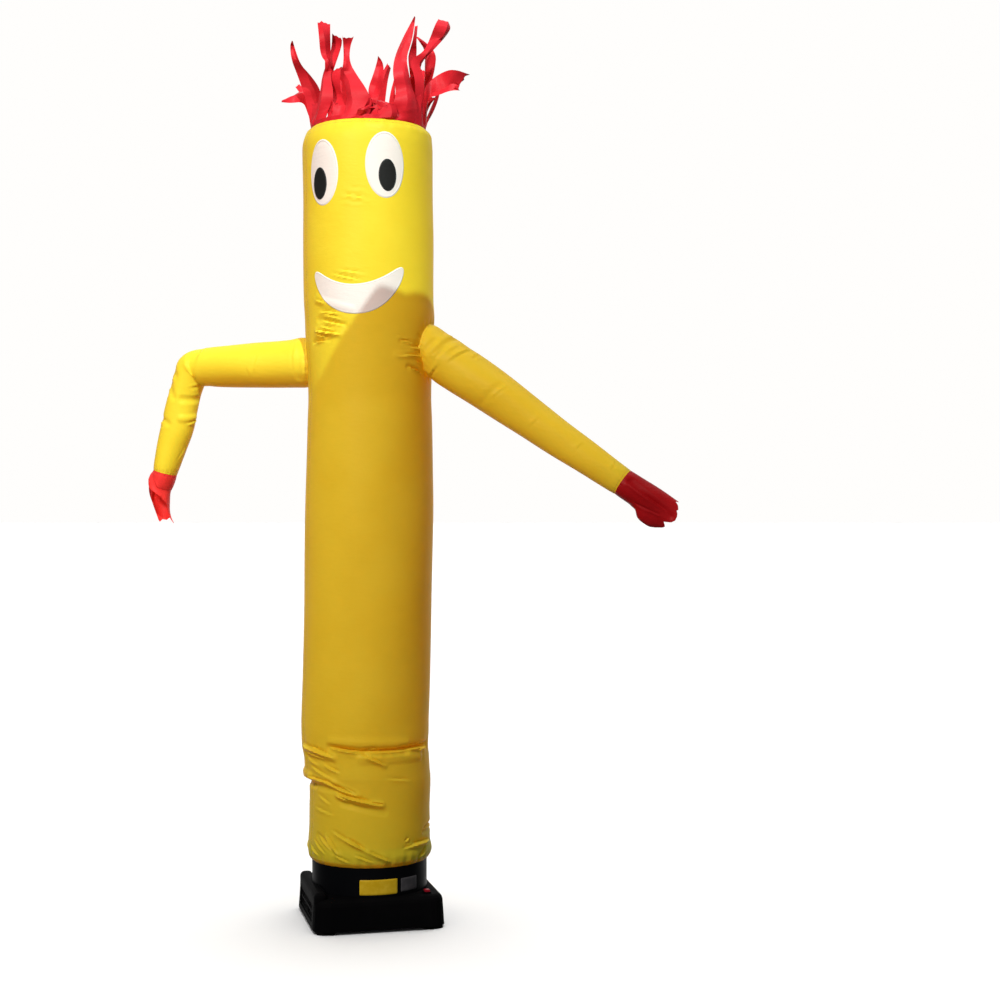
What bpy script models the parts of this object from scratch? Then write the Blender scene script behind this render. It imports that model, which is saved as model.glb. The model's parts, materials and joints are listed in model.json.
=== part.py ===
# Inflatable air dancer on its blower: a cloth tube with two sleeves, hands, ribbon hair and a sewn face.
# Units are metres, +Z is up, the front faces -Y. The origin is on the floor under the collar's axis.

import math
from collections import namedtuple

import bmesh
import bpy
from mathutils import Matrix, Vector

# Cloth and gaps
CLOTH = 0.0015
APPLIQUE = 0.0010
RIBBON = 0.0012
GAP = 0.0003
FACET_RISE = 0.0002
FACE_LIFT = 0.0008
PUPIL_GAP = 0.0005

# Blower
HOUSING_TURN = math.radians(14.0)
HOUSING_SHIFT = 0.0010
HOUSING_HALF = 0.132
HOUSING_TOP_HALF = 0.1285
HOUSING_BOTTOM = 0.006
DECK_HEIGHT = 0.066
SHOULDER_HEIGHT = 0.079
SHOULDER_WIDTH = 0.026
SHOULDER_LENGTH = 0.226
CORNER_RADIUS = 0.030
TOP_ROUNDING = 0.012
SHOULDER_DEPTH = 0.033
SHOULDER_CORNER = 0.010
SHOULDER_ROUNDING = 0.0095
SHOULDER_OVERHANG = 0.0004
SEAT_HEADROOM = 0.020
RECESS_DEPTH = 0.020
COLLAR_RADIUS = 0.1160
COLLAR_WALL = 0.0030
COLLAR_SEAT = 0.063
COLLAR_TOP = 0.165
FAN_WELL_RADIUS = 0.104
FAN_WELL_FLOOR = 0.030

GRILLE_LENGTH = 0.170
GRILLE_HEIGHT = 0.036
GRILLE_MIDDLE = 0.035
GRILLE_WALL = 0.0025
GRILLE_FACE = -0.1255
GRILLE_BAR = 0.0035
GRILLE_COLUMNS = 9
GRILLE_ROWS = 2
PLATE_WALL = 0.0010
YELLOW_PLACE = (-5.5, 32.5, 0.0705, 0.1005)
GREY_PLACE = (36.5, 57.5, 0.0725, 0.0995)
PLATE_DEGREES = 5.0
SWITCH_PLACE = (0.098, -0.096)
SWITCH_SIZE = (0.013, 0.010)
BEZEL_RIM = 0.003
BEZEL_RISE = 0.002
ROCKER_RISE = 0.004
ROCKER_ROUNDING = 0.0015
FOOT_PLACE = 0.106
FOOT_SIZE = 0.042
FOOT_CORNER = 0.014
PAN_SIZE = 0.160
PAN_CORNER = 0.020
GLAND_PLACE = (0.070, 0.030)
GLAND_RADIUS = 0.009
GLAND_TIP_RADIUS = 0.006
GLAND_LENGTH = 0.022
GLAND_SIDES = 16

# Tube
TUBE_SIDES = 36
TUBE_MEAN_RADIUS = 0.127

# Sleeves: the way that each leaves the tube, as an azimuth from the front
LEFT_ARM_AZIMUTH = -104.0
RIGHT_ARM_AZIMUTH = 76.0
ARM_SIDES = 16
LEFT_WRIST_ROW = 13
RIGHT_WRIST_ROW = 10
HAND_RINGS = 6
BORE_ROWS = 4

# Face: turned and tilted a little to one side, as the tube has twisted
FACE_AZIMUTH = -9.0
FACE_TILT = 0.0055
FACE_RADIUS = 0.1320
EYE_SPREAD = 28.3
EYE_HEIGHT = 1.4995
EYE_HALF_WIDTH = 0.0390
EYE_HALF_HEIGHT = 0.0645
PUPIL_SPREAD = 31.3
PUPIL_DROP = 0.0205
PUPIL_HALF_WIDTH = 0.0190
PUPIL_HALF_HEIGHT = 0.0328
OVAL_SIDES = 20
MOUTH_HALF_SPAN = 42.5
MOUTH_TILT = 0.0022
MOUTH_SHIFT = 2.0
MOUTH_TOP = 1.270
MOUTH_TOP_CURL = 0.038
MOUTH_BOTTOM = 1.213
MOUTH_BOTTOM_CURL = 0.074

# Hair band
BAND_HEIGHT = 0.008
BAND_WALL = 0.0016

Section = namedtuple("Section", "height centre_x radius steps")
TUBE_SECTIONS = (
    Section(0.1250, 0.0000, 0.1182, 1),
    Section(0.1310, 0.0000, 0.1218, 1),
    Section(0.1440, 0.0010, 0.1245, 1),
    Section(0.1600, -0.0010, 0.1232, 2),
    Section(0.1850, 0.0000, 0.1225, 3),
    Section(0.2250, 0.0000, 0.1218, 3),
    Section(0.2680, 0.0010, 0.1225, 2),
    Section(0.2880, -0.0010, 0.1245, 1),
    Section(0.3000, -0.0040, 0.1262, 2),
    Section(0.3300, -0.0060, 0.1265, 2),
    Section(0.3520, -0.0090, 0.1272, 2),
    Section(0.3800, -0.0090, 0.1288, 1),
    Section(0.4050, -0.0090, 0.1290, 1),
    Section(0.4720, -0.0070, 0.1290, 2),
    Section(0.6340, -0.0030, 0.1290, 2),
    Section(0.8170, 0.0000, 0.1300, 2),
    Section(0.9190, 0.0000, 0.1280, 1),
    Section(1.0100, 0.0000, 0.1260, 1),
    Section(1.0610, 0.0000, 0.1245, 4),
    Section(1.1650, 0.0000, 0.1290, 2),
    Section(1.2150, 0.0010, 0.1312, 1),
    Section(1.2540, -0.0010, 0.1312, 2),
    Section(1.3760, -0.0020, 0.1320, 2),
    Section(1.4570, -0.0030, 0.1312, 2),
    Section(1.5450, -0.0040, 0.1320, 1),
    Section(1.5600, -0.0040, 0.1318, 1),
    Section(1.5720, -0.0035, 0.1305, 1),
    Section(1.5840, -0.0020, 0.1275, 1),
    Section(1.5925, -0.0020, 0.1225, 1),
    Section(1.5980, -0.0020, 0.1160, 0),
)

# A fold runs straight from one place on the unrolled cloth to another. A positive lift is a ridge.
Fold = namedtuple("Fold", "azimuth_1 height_1 azimuth_2 height_2 half_width lift")
BUCKLE_FOLDS = (
    Fold(-66, 0.352, -26, 0.341, 0.012, 0.0035),
    Fold(-66, 0.338, -28, 0.329, 0.011, -0.0025),
    Fold(-28, 0.359, 4, 0.353, 0.012, -0.0050),
    Fold(4, 0.353, 44, 0.353, 0.012, -0.0060),
    Fold(44, 0.354, 78, 0.356, 0.012, -0.0045),
    Fold(-28, 0.373, 44, 0.368, 0.013, 0.0025),
    Fold(0, 0.339, 60, 0.338, 0.014, 0.0030),
    Fold(4, 0.349, 20, 0.326, 0.011, 0.0020),
    Fold(-112, 0.300, -60, 0.296, 0.013, 0.0045),
    Fold(-60, 0.296, -28, 0.291, 0.012, 0.0030),
    Fold(-112, 0.281, -60, 0.279, 0.012, -0.0055),
    Fold(-60, 0.280, -28, 0.276, 0.011, -0.0030),
    Fold(-28, 0.291, -7, 0.268, 0.011, 0.0025),
    Fold(-26, 0.266, 15, 0.248, 0.011, 0.0035),
    Fold(-22, 0.252, 18, 0.233, 0.011, -0.0025),
    Fold(110, 0.362, 165, 0.345, 0.013, -0.0045),
    Fold(165, 0.345, 235, 0.352, 0.013, -0.0050),
    Fold(118, 0.343, 200, 0.330, 0.013, 0.0030),
    Fold(150, 0.290, 215, 0.301, 0.012, -0.0030),
    Fold(205, 0.272, 240, 0.262, 0.012, 0.0030),
)
HEM_FOLDS = (
    Fold(-39, 0.182, -25, 0.151, 0.010, 0.0020),
    Fold(-52, 0.180, -31, 0.155, 0.010, -0.0020),
    Fold(-16, 0.182, 3, 0.158, 0.010, 0.0020),
    Fold(3, 0.156, 22, 0.138, 0.010, 0.0020),
    Fold(46, 0.163, 78, 0.163, 0.010, 0.0025),
    Fold(68, 0.184, 106, 0.187, 0.010, -0.0065),
    Fold(58, 0.136, 68, 0.150, 0.009, -0.0015),
    Fold(140, 0.180, 165, 0.150, 0.010, 0.0020),
    Fold(205, 0.178, 182, 0.150, 0.010, -0.0020),
    Fold(238, 0.175, 215, 0.148, 0.010, 0.0020),
)
SHOULDER_FOLDS = (
    Fold(-54, 1.160, -34, 1.166, 0.010, -0.0020),
    Fold(-50, 1.183, -22, 1.173, 0.010, 0.0020),
    Fold(-46, 1.204, -18, 1.190, 0.010, -0.0020),
    Fold(-48, 1.245, -12, 1.222, 0.012, 0.0015),
    Fold(34, 1.161, 60, 1.152, 0.010, -0.0020),
    Fold(42, 1.111, 62, 1.100, 0.010, -0.0025),
    Fold(29, 1.133, 59, 1.135, 0.011, 0.0015),
    Fold(152, 1.168, 125, 1.152, 0.011, -0.0020),
    Fold(-158, 1.150, -130, 1.142, 0.011, -0.0020),
)
TUBE_FOLDS = BUCKLE_FOLDS + HEM_FOLDS + SHOULDER_FOLDS

# A sleeve's section: reach from the tube's axis, height of its centre, half its size up and across.
# The hand carries the sleeve on past the wrist seam.
Sleeve = namedtuple("Sleeve", "reach height radius_up radius_side steps")
LEFT_SLEEVE = (
    Sleeve(0.078, 1.131, 0.0525, 0.0520, 1),
    Sleeve(0.124, 1.130, 0.0525, 0.0520, 1),
    Sleeve(0.144, 1.129, 0.0515, 0.0515, 1),
    Sleeve(0.170, 1.1275, 0.0490, 0.0495, 2),
    Sleeve(0.250, 1.1258, 0.0462, 0.0465, 2),
    Sleeve(0.329, 1.1250, 0.0420, 0.0420, 1),
    Sleeve(0.356, 1.1242, 0.0395, 0.0395, 1),
    Sleeve(0.3860, 1.1180, 0.0372, 0.0370, 1),
    Sleeve(0.4005, 1.0830, 0.0318, 0.0360, 1),
    Sleeve(0.4110, 1.0452, 0.0328, 0.0360, 1),
    Sleeve(0.4205, 1.0036, 0.0340, 0.0345, 2),
    Sleeve(0.4340, 0.9620, 0.0308, 0.0335, 1),
    Sleeve(0.4457, 0.9204, 0.0258, 0.0330, 1),
    Sleeve(0.4495, 0.9055, 0.0240, 0.0325, 1),
    Sleeve(0.4555, 0.8880, 0.0240, 0.0300, 1),
    Sleeve(0.4625, 0.8726, 0.0245, 0.0270, 1),
    Sleeve(0.4605, 0.8434, 0.0185, 0.0240, 1),
    Sleeve(0.4575, 0.8226, 0.0150, 0.0210, 1),
    Sleeve(0.4520, 0.8050, 0.0140, 0.0190, 1),
    Sleeve(0.4440, 0.7910, 0.0135, 0.0180, 0),
)
RIGHT_SLEEVE = (
    Sleeve(0.080, 1.1830, 0.0470, 0.0480, 1),
    Sleeve(0.124, 1.1520, 0.0470, 0.0480, 1),
    Sleeve(0.1418, 1.1404, 0.0465, 0.0480, 1),
    Sleeve(0.1620, 1.1270, 0.0478, 0.0480, 1),
    Sleeve(0.1850, 1.1115, 0.0474, 0.0476, 1),
    Sleeve(0.2085, 1.0965, 0.0473, 0.0474, 2),
    Sleeve(0.2745, 1.0530, 0.0444, 0.0445, 2),
    Sleeve(0.3399, 1.0065, 0.0397, 0.0400, 2),
    Sleeve(0.4049, 0.9612, 0.0356, 0.0360, 2),
    Sleeve(0.4690, 0.9174, 0.0315, 0.0320, 2),
    Sleeve(0.5212, 0.8819, 0.0284, 0.0290, 1),
    Sleeve(0.5480, 0.8640, 0.0285, 0.0260, 1),
    Sleeve(0.5710, 0.8490, 0.0295, 0.0235, 1),
    Sleeve(0.5940, 0.8340, 0.0300, 0.0190, 1),
    Sleeve(0.6170, 0.8190, 0.0290, 0.0150, 1),
    Sleeve(0.6400, 0.8040, 0.0260, 0.0120, 0),
)

# A fold on a sleeve: its place along the sleeve and round it, 0 on top and 90 in front
SleeveFold = namedtuple("SleeveFold", "along_1 round_1 along_2 round_2 half_width lift")
LEFT_SLEEVE_FOLDS = (
    SleeveFold(0.050, 30, 0.062, 130, 0.012, -0.0020),
    SleeveFold(0.285, 20, 0.305, 150, 0.012, -0.0030),
    SleeveFold(0.318, 0, 0.330, 60, 0.011, -0.0025),
    SleeveFold(0.345, 30, 0.372, 75, 0.011, -0.0020),
    SleeveFold(0.365, 175, 0.372, 110, 0.011, -0.0030),
    SleeveFold(0.405, 180, 0.412, 120, 0.011, 0.0030),
    SleeveFold(0.420, 20, 0.428, 75, 0.011, -0.0020),
    SleeveFold(0.300, 200, 0.312, 300, 0.012, -0.0030),
    SleeveFold(0.545, 20, 0.585, 110, 0.011, 0.0030),
    SleeveFold(0.600, 95, 0.650, 80, 0.009, -0.0030),
)
RIGHT_SLEEVE_FOLDS = (
    SleeveFold(0.095, 0, 0.088, 80, 0.011, -0.0025),
    SleeveFold(0.082, 10, 0.070, 100, 0.011, 0.0020),
    SleeveFold(0.070, 60, 0.058, 150, 0.011, -0.0030),
    SleeveFold(0.060, 185, 0.058, 130, 0.011, -0.0030),
    SleeveFold(0.085, 190, 0.080, 140, 0.011, 0.0025),
    SleeveFold(0.230, 60, 0.215, 130, 0.012, -0.0015),
    SleeveFold(0.090, 230, 0.080, 320, 0.012, -0.0025),
    SleeveFold(0.550, 60, 0.650, 95, 0.011, -0.0030),
    SleeveFold(0.606, 165, 0.632, 190, 0.024, 0.0070),
    SleeveFold(0.584, 170, 0.586, 190, 0.012, -0.0030),
    SleeveFold(0.570, 280, 0.650, 260, 0.011, -0.0025),
)

# Cut end of a hand: how far the cloth reaches past the wrist seam, round the hand
HandEdge = namedtuple("HandEdge", "round reach")
LEFT_HAND_EDGE = (
    HandEdge(0, 0.100),
    HandEdge(40, 0.082),
    HandEdge(80, 0.106),
    HandEdge(120, 0.088),
    HandEdge(160, 0.120),
    HandEdge(200, 0.122),
    HandEdge(240, 0.090),
    HandEdge(280, 0.104),
    HandEdge(320, 0.084),
    HandEdge(360, 0.100),
)
RIGHT_HAND_EDGE = (
    HandEdge(0, 0.116),
    HandEdge(40, 0.112),
    HandEdge(80, 0.130),
    HandEdge(100, 0.131),
    HandEdge(140, 0.110),
    HandEdge(180, 0.112),
    HandEdge(220, 0.090),
    HandEdge(260, 0.118),
    HandEdge(320, 0.098),
    HandEdge(360, 0.116),
)

# A hair ribbon: side and rise of its knee and its tip from its root, lean to the back, widths and twist
Ribbon = namedtuple(
    "Ribbon",
    "azimuth knee_side knee_rise tip_side tip_rise lean root_width knee_width tip_width knee_turn tip_turn",
)
RIBBONS = (
    Ribbon(-80, -0.012, 0.106, -0.042, 0.172, 0.000, 0.030, 0.022, 0.004, 60, 80),
    Ribbon(-97, -0.028, 0.070, -0.068, 0.063, 0.010, 0.020, 0.022, 0.012, 50, 70),
    Ribbon(-62, 0.022, 0.118, 0.020, 0.196, -0.010, 0.028, 0.022, 0.027, 50, 55),
    Ribbon(-46, 0.024, 0.100, 0.023, 0.170, 0.025, 0.026, 0.022, 0.018, 30, 60),
    Ribbon(-20, 0.014, 0.090, 0.008, 0.160, -0.004, 0.040, 0.030, 0.024, -15, -30),
    Ribbon(-33, 0.006, 0.050, 0.005, 0.102, 0.012, 0.030, 0.030, 0.008, 10, 20),
    Ribbon(5, 0.016, 0.064, 0.019, 0.122, 0.006, 0.022, 0.028, 0.004, -20, -35),
    Ribbon(25, -0.005, 0.028, -0.030, 0.036, -0.022, 0.018, 0.014, 0.006, 12, 30),
    Ribbon(42, -0.013, 0.107, 0.022, 0.207, 0.006, 0.040, 0.032, 0.005, -20, -45),
    Ribbon(60, -0.016, 0.122, 0.000, 0.200, 0.030, 0.018, 0.016, 0.010, -30, -60),
    Ribbon(66, 0.012, 0.124, 0.053, 0.199, -0.012, 0.018, 0.018, 0.030, -45, -60),
    Ribbon(96, 0.022, 0.115, 0.014, 0.167, 0.015, 0.026, 0.026, 0.012, -50, -80),
    Ribbon(80, 0.036, 0.078, 0.092, 0.100, -0.006, 0.030, 0.038, 0.016, -40, -60),
    Ribbon(112, 0.022, 0.055, 0.033, 0.092, 0.010, 0.026, 0.026, 0.012, -30, -50),
    Ribbon(-113, -0.018, 0.044, -0.030, 0.066, 0.005, 0.024, 0.020, 0.008, 30, 50),
    Ribbon(-8, 0.014, 0.026, 0.038, 0.024, -0.020, 0.022, 0.020, 0.012, 8, 30),
    Ribbon(134, 0.012, 0.095, 0.024, 0.150, 0.012, 0.030, 0.026, 0.012, 20, 60),
    Ribbon(155, -0.008, 0.080, -0.004, 0.138, 0.016, 0.026, 0.024, 0.010, -20, -50),
    Ribbon(178, 0.012, 0.105, 0.030, 0.165, 0.008, 0.030, 0.024, 0.014, 25, 60),
    Ribbon(200, -0.010, 0.080, -0.030, 0.128, 0.014, 0.026, 0.022, 0.010, -25, -60),
    Ribbon(222, -0.012, 0.100, -0.018, 0.168, 0.006, 0.030, 0.024, 0.016, 30, 70),
    Ribbon(244, -0.020, 0.065, -0.050, 0.108, 0.010, 0.024, 0.022, 0.010, -30, -60),
)
RIBBON_STEPS = 4

# Colours, roughness and metallic of the finishes
YELLOW_CLOTH = ("yellow_nylon", (0.93, 0.70, 0.045), 0.45, 0.0)
RED_CLOTH = ("red_nylon", (0.72, 0.035, 0.035), 0.45, 0.0)
WHITE_CLOTH = ("white_nylon", (0.90, 0.86, 0.76), 0.55, 0.0)
BLACK_CLOTH = ("black_nylon", (0.03, 0.03, 0.028), 0.55, 0.0)
BLACK_PLASTIC = ("black_plastic", (0.012, 0.012, 0.013), 0.42, 0.0)
YELLOW_PLATE = ("yellow_plate", (0.80, 0.58, 0.03), 0.40, 0.0)
GREY_PLATE = ("grey_plate", (0.16, 0.17, 0.18), 0.35, 0.0)
RED_PLASTIC = ("red_plastic", (0.55, 0.02, 0.03), 0.35, 0.0)
BLACK_RUBBER = ("black_rubber", (0.018, 0.018, 0.018), 0.80, 0.0)


def clear_scene():
    for thing in list(bpy.data.objects):
        bpy.data.objects.remove(thing, do_unlink=True)


def new_collection(name):
    collection = bpy.data.collections.new(name)
    bpy.context.scene.collection.children.link(collection)
    return collection


def finish_material(finish):
    name, colour, roughness, metallic = finish
    if name in bpy.data.materials:
        return bpy.data.materials[name]
    material = bpy.data.materials.new(name)
    material.use_nodes = True
    shader = material.node_tree.nodes["Principled BSDF"]
    shader.inputs["Base Color"].default_value = (*colour, 1.0)
    shader.inputs["Roughness"].default_value = roughness
    shader.inputs["Metallic"].default_value = metallic
    return material


def add_object(name, shape, collection, finish=None, parent=None):
    """Turn a bmesh into a smooth-shaded object with sharp edges kept."""
    mesh = bpy.data.meshes.new(name)
    shape.to_mesh(mesh)
    shape.free()
    mesh.shade_smooth()
    mesh.set_sharp_from_angle(angle=math.radians(40.0))
    thing = bpy.data.objects.new(name, mesh)
    collection.objects.link(thing)
    thing.parent = parent
    if finish:
        mesh.materials.append(finish_material(finish))
    return thing


def add_cutter(name, shape, parent=None):
    cutter = add_object(name, shape, CUTTERS, parent=parent)
    cutter.hide_render = True
    cutter.display_type = "WIRE"
    return cutter


def cut(thing, cutter, operation="DIFFERENCE"):
    boolean = thing.modifiers.new(cutter.name, "BOOLEAN")
    boolean.operation = operation
    boolean.solver = "EXACT"
    boolean.object = cutter
    return boolean


def solidify(thing, thickness, offset):
    shell = thing.modifiers.new("thickness", "SOLIDIFY")
    shell.thickness = thickness
    shell.offset = offset
    shell.use_even_offset = True
    return shell


def mapped_grid(across, along, place):
    """A flat grid with its points moved by place(u, v), u across and v along, and its meeting edges welded."""
    shape = bmesh.new()
    bmesh.ops.create_grid(shape, x_segments=across, y_segments=along, size=0.5)
    for vertex in shape.verts:
        vertex.co = place(vertex.co.x + 0.5, vertex.co.y + 0.5)
    bmesh.ops.remove_doubles(shape, verts=shape.verts, dist=1e-6)
    bmesh.ops.dissolve_degenerate(shape, edges=shape.edges, dist=1e-6)
    return shape


def fill_ends(shape):
    rims = [edge for edge in shape.edges if edge.is_boundary]
    bmesh.ops.holes_fill(shape, edges=rims, sides=0)


def smooth_value(keys, values, key):
    """Value at key on a smooth curve through the pairs of keys and values."""
    last = len(keys) - 1
    index = max(i for i in range(last) if i == 0 or keys[i] <= key)

    def slope(i):
        low, high = max(i - 1, 0), min(i + 1, last)
        return (values[high] - values[low]) / (keys[high] - keys[low])

    span = keys[index + 1] - keys[index]
    t = (key - keys[index]) / span
    start, end = values[index], values[index + 1]
    return (
        (2 * t**3 - 3 * t**2 + 1) * start
        + (t**3 - 2 * t**2 + t) * span * slope(index)
        + (3 * t**2 - 2 * t**3) * end
        + (t**3 - t**2) * span * slope(index + 1)
    )


def stations(keys, steps):
    """Every key, with the extra stations that each row asks for on the way to the next."""
    places = []
    for start, end, count in zip(keys, keys[1:], steps):
        places += [start + (end - start) * k / count for k in range(count)]
    return places + [keys[-1]]


def fold_lift(across, along, run, half_width, lift):
    """Lift of one fold at a place on the unrolled cloth, fading out to its sides and past its ends."""
    start, end = Vector(run[0]), Vector(run[1])
    way = end - start
    t = (Vector((across, along)) - start).dot(way) / way.length_squared
    nearest = start + way * min(max(t, 0.0), 1.0)
    distance = (Vector((across, along)) - nearest).length / half_width
    return lift * (1 - distance**2) ** 2 if distance < 1 else 0.0


# Tube

TUBE_HEIGHTS = [row.height for row in TUBE_SECTIONS]
TUBE_CENTRES = [row.centre_x for row in TUBE_SECTIONS]
TUBE_RADII = [row.radius for row in TUBE_SECTIONS]
TUBE_TOP = TUBE_SECTIONS[-1]


def tube_fold_lift(azimuth, height):
    total = 0.0
    for fold in TUBE_FOLDS:
        turns = round((0.5 * (fold.azimuth_1 + fold.azimuth_2) - azimuth) / 360.0)
        across = math.radians(azimuth + 360.0 * turns) * TUBE_MEAN_RADIUS
        run = (
            (math.radians(fold.azimuth_1) * TUBE_MEAN_RADIUS, fold.height_1),
            (math.radians(fold.azimuth_2) * TUBE_MEAN_RADIUS, fold.height_2),
        )
        total += fold_lift(across, height, run, fold.half_width, fold.lift)
    return total


def tube_point(azimuth, height, lift=0.0):
    """Point on the tube's outer face, or lift outside it. Azimuth 0 is the front, 90 is +X."""
    radius = smooth_value(TUBE_HEIGHTS, TUBE_RADII, height) + tube_fold_lift(azimuth, height) + lift
    angle = math.radians(azimuth)
    centre_x = smooth_value(TUBE_HEIGHTS, TUBE_CENTRES, height)
    return Vector((centre_x + radius * math.sin(angle), -radius * math.cos(angle), height))


def tube_wall(lift=0.0):
    heights = stations(TUBE_HEIGHTS, [row.steps for row in TUBE_SECTIONS[:-1]])
    spans = len(heights) - 1
    return mapped_grid(
        TUBE_SIDES,
        spans,
        lambda u, v: tube_point(360.0 * u, heights[round(v * spans)], lift),
    )


def make_tube():
    tube = add_object("body_tube", tube_wall(), PARTS, YELLOW_CLOTH)
    solidify(tube, CLOTH, -1.0)
    return tube


def make_tube_core():
    """The space inside the tube's outer face, filled and a gap larger, which trims the sleeves' roots."""
    shape = tube_wall(GAP)
    fill_ends(shape)
    return add_cutter("tube_core", shape)


# Sleeves and hands


class SleevePath:
    """A sleeve's centre line in the upright plane through the tube's axis at one azimuth."""

    def __init__(self, rows, azimuth, folds):
        angle = math.radians(azimuth)
        self.out = Vector((math.sin(angle), -math.cos(angle), 0.0))
        self.side = 1.0 if self.out.x > 0 else -1.0
        self.front = self.side * Vector((self.out.y, -self.out.x, 0.0))
        self.rows = rows
        self.folds = folds
        self.keys = [0.0]
        for near, far in zip(rows, rows[1:]):
            step = math.hypot(far.reach - near.reach, far.height - near.height)
            self.keys.append(self.keys[-1] + step)

    def column(self, name, along):
        return smooth_value(self.keys, [getattr(row, name) for row in self.rows], along)

    def centre(self, along):
        return self.out * self.column("reach", along) + Vector((0, 0, self.column("height", along)))

    def fold_lift(self, along, turn):
        total = 0.0
        for fold in self.folds:
            radius = self.column("radius_up", along)
            run = (
                (math.radians(fold.round_1) * radius, fold.along_1),
                (math.radians(fold.round_2) * radius, fold.along_2),
            )
            total += fold_lift(math.radians(turn) * radius, along, run, fold.half_width, fold.lift)
        return total

    def point(self, along, turn, lift=0.0):
        """Point at a distance along the sleeve, turned from its top (0) through its front (90)."""
        step = 0.002
        low, high = max(along - step, 0.0), min(along + step, self.keys[-1])
        way = (self.centre(high) - self.centre(low)).normalized()
        up = self.out * -way.z + Vector((0, 0, way.dot(self.out)))
        angle = math.radians(turn)
        extra = self.fold_lift(along, turn % 360.0) + lift
        rise = up * (self.column("radius_up", along) + extra) * math.cos(angle)
        swing = self.front * (self.column("radius_side", along) + extra) * math.sin(angle)
        return self.centre(along) + rise + swing


def sleeve_wall(path, last, end, lift=0.0):
    """The sleeve's face from its inner end to its row number last, ending at a distance along it."""
    places = stations(path.keys[:last + 1], [row.steps for row in path.rows[:last]])
    places[-1] = end
    spans = len(places) - 1
    return mapped_grid(
        ARM_SIDES,
        spans,
        lambda u, v: path.point(places[round(v * spans)], path.side * 360.0 * u, lift),
    )


def make_arm(name, path, wrist_row, tube, core):
    """A sleeve trimmed to the tube's outer face, and the hole in the tube that it is sewn round."""
    wall = sleeve_wall(path, wrist_row, path.keys[wrist_row] - GAP)
    arm = add_object(name, wall, PARTS, YELLOW_CLOTH)
    solidify(arm, CLOTH, -1.0)
    cut(arm, core)
    bore = sleeve_wall(path, BORE_ROWS, path.keys[BORE_ROWS], -CLOTH)
    fill_ends(bore)
    cut(tube, add_cutter(name + "_bore", bore))


def hand_reach(edge, turn):
    for near, far in zip(edge, edge[1:]):
        if turn <= far.round:
            t = (turn - near.round) / (far.round - near.round)
            return near.reach + t * (far.reach - near.reach)
    return edge[-1].reach


def make_hand(name, path, wrist_row, edge):
    start = path.keys[wrist_row] + GAP

    def place(u, v):
        turn = path.side * 360.0 * u
        return path.point(start + v * hand_reach(edge, turn % 360.0), turn)

    hand = add_object(name, mapped_grid(ARM_SIDES, HAND_RINGS, place), PARTS, RED_CLOTH)
    solidify(hand, CLOTH, -1.0)
    return hand


# Sewn face


def face_spot(side_degrees, height, tilt=FACE_TILT):
    """Azimuth and height of a place on the turned and tilted face."""
    return FACE_AZIMUTH + side_degrees, height + tilt * side_degrees / EYE_SPREAD


def make_oval(name, finish, side_degrees, height, half_width, half_height, lift):
    azimuth, middle = face_spot(side_degrees, height)
    width_degrees = math.degrees(half_width / FACE_RADIUS)

    def place(u, v):
        angle = -2 * math.pi * u
        return tube_point(
            azimuth + width_degrees * v * math.cos(angle),
            middle + half_height * v * math.sin(angle),
            lift,
        )

    oval = add_object(name, mapped_grid(OVAL_SIDES, 2, place), PARTS, finish)
    solidify(oval, APPLIQUE, 1.0)
    return oval


def make_mouth():
    def place(u, v):
        t = 2 * u - 1
        low = MOUTH_BOTTOM + MOUTH_BOTTOM_CURL * t * t
        high = MOUTH_TOP + MOUTH_TOP_CURL * t * t
        half = 0.5 * (high - low) * math.sqrt(max(1 - t**12, 0.0))
        middle = 0.5 * (low + high)
        azimuth, height = face_spot(
            MOUTH_HALF_SPAN * t + MOUTH_SHIFT, middle + half * (2 * v - 1), MOUTH_TILT
        )
        return tube_point(azimuth, height, FACE_LIFT)

    mouth = add_object("mouth", mapped_grid(16, 2, place), PARTS, WHITE_CLOTH)
    solidify(mouth, APPLIQUE, 1.0)


def make_face():
    pupil_lift = FACE_LIFT + APPLIQUE + PUPIL_GAP
    for side, name in ((-1, "left"), (1, "right")):
        make_oval(
            "eye_white_" + name, WHITE_CLOTH, side * EYE_SPREAD, EYE_HEIGHT,
            EYE_HALF_WIDTH, EYE_HALF_HEIGHT, FACE_LIFT,
        )
        make_oval(
            "pupil_" + name, BLACK_CLOTH, side * PUPIL_SPREAD, EYE_HEIGHT - PUPIL_DROP,
            PUPIL_HALF_WIDTH, PUPIL_HALF_HEIGHT, pupil_lift,
        )
    make_mouth()


# Hair

BAND_RADIUS = TUBE_TOP.radius - CLOTH / 2
BAND_BOTTOM = TUBE_TOP.height + GAP + FACET_RISE


def turned_ring(name, radius, wall, bottom, top, collection, finish):
    """A plain ring turned round the axis through the collar."""
    profile = bmesh.new()
    outer, inner = radius, radius - wall
    corners = [(outer, 0, top), (outer, 0, bottom), (inner, 0, bottom), (inner, 0, top)]
    points = [profile.verts.new(corner) for corner in corners]
    for near, far in zip(points, points[1:] + points[:1]):
        profile.edges.new((near, far))
    ring = add_object(name, profile, collection, finish)
    turn = ring.modifiers.new("turn", "SCREW")
    turn.angle = 2 * math.pi
    turn.steps = TUBE_SIDES
    turn.render_steps = TUBE_SIDES
    turn.use_merge_vertices = True
    turn.merge_threshold = 0.0001
    turn.use_normal_calculate = False
    return ring


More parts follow.
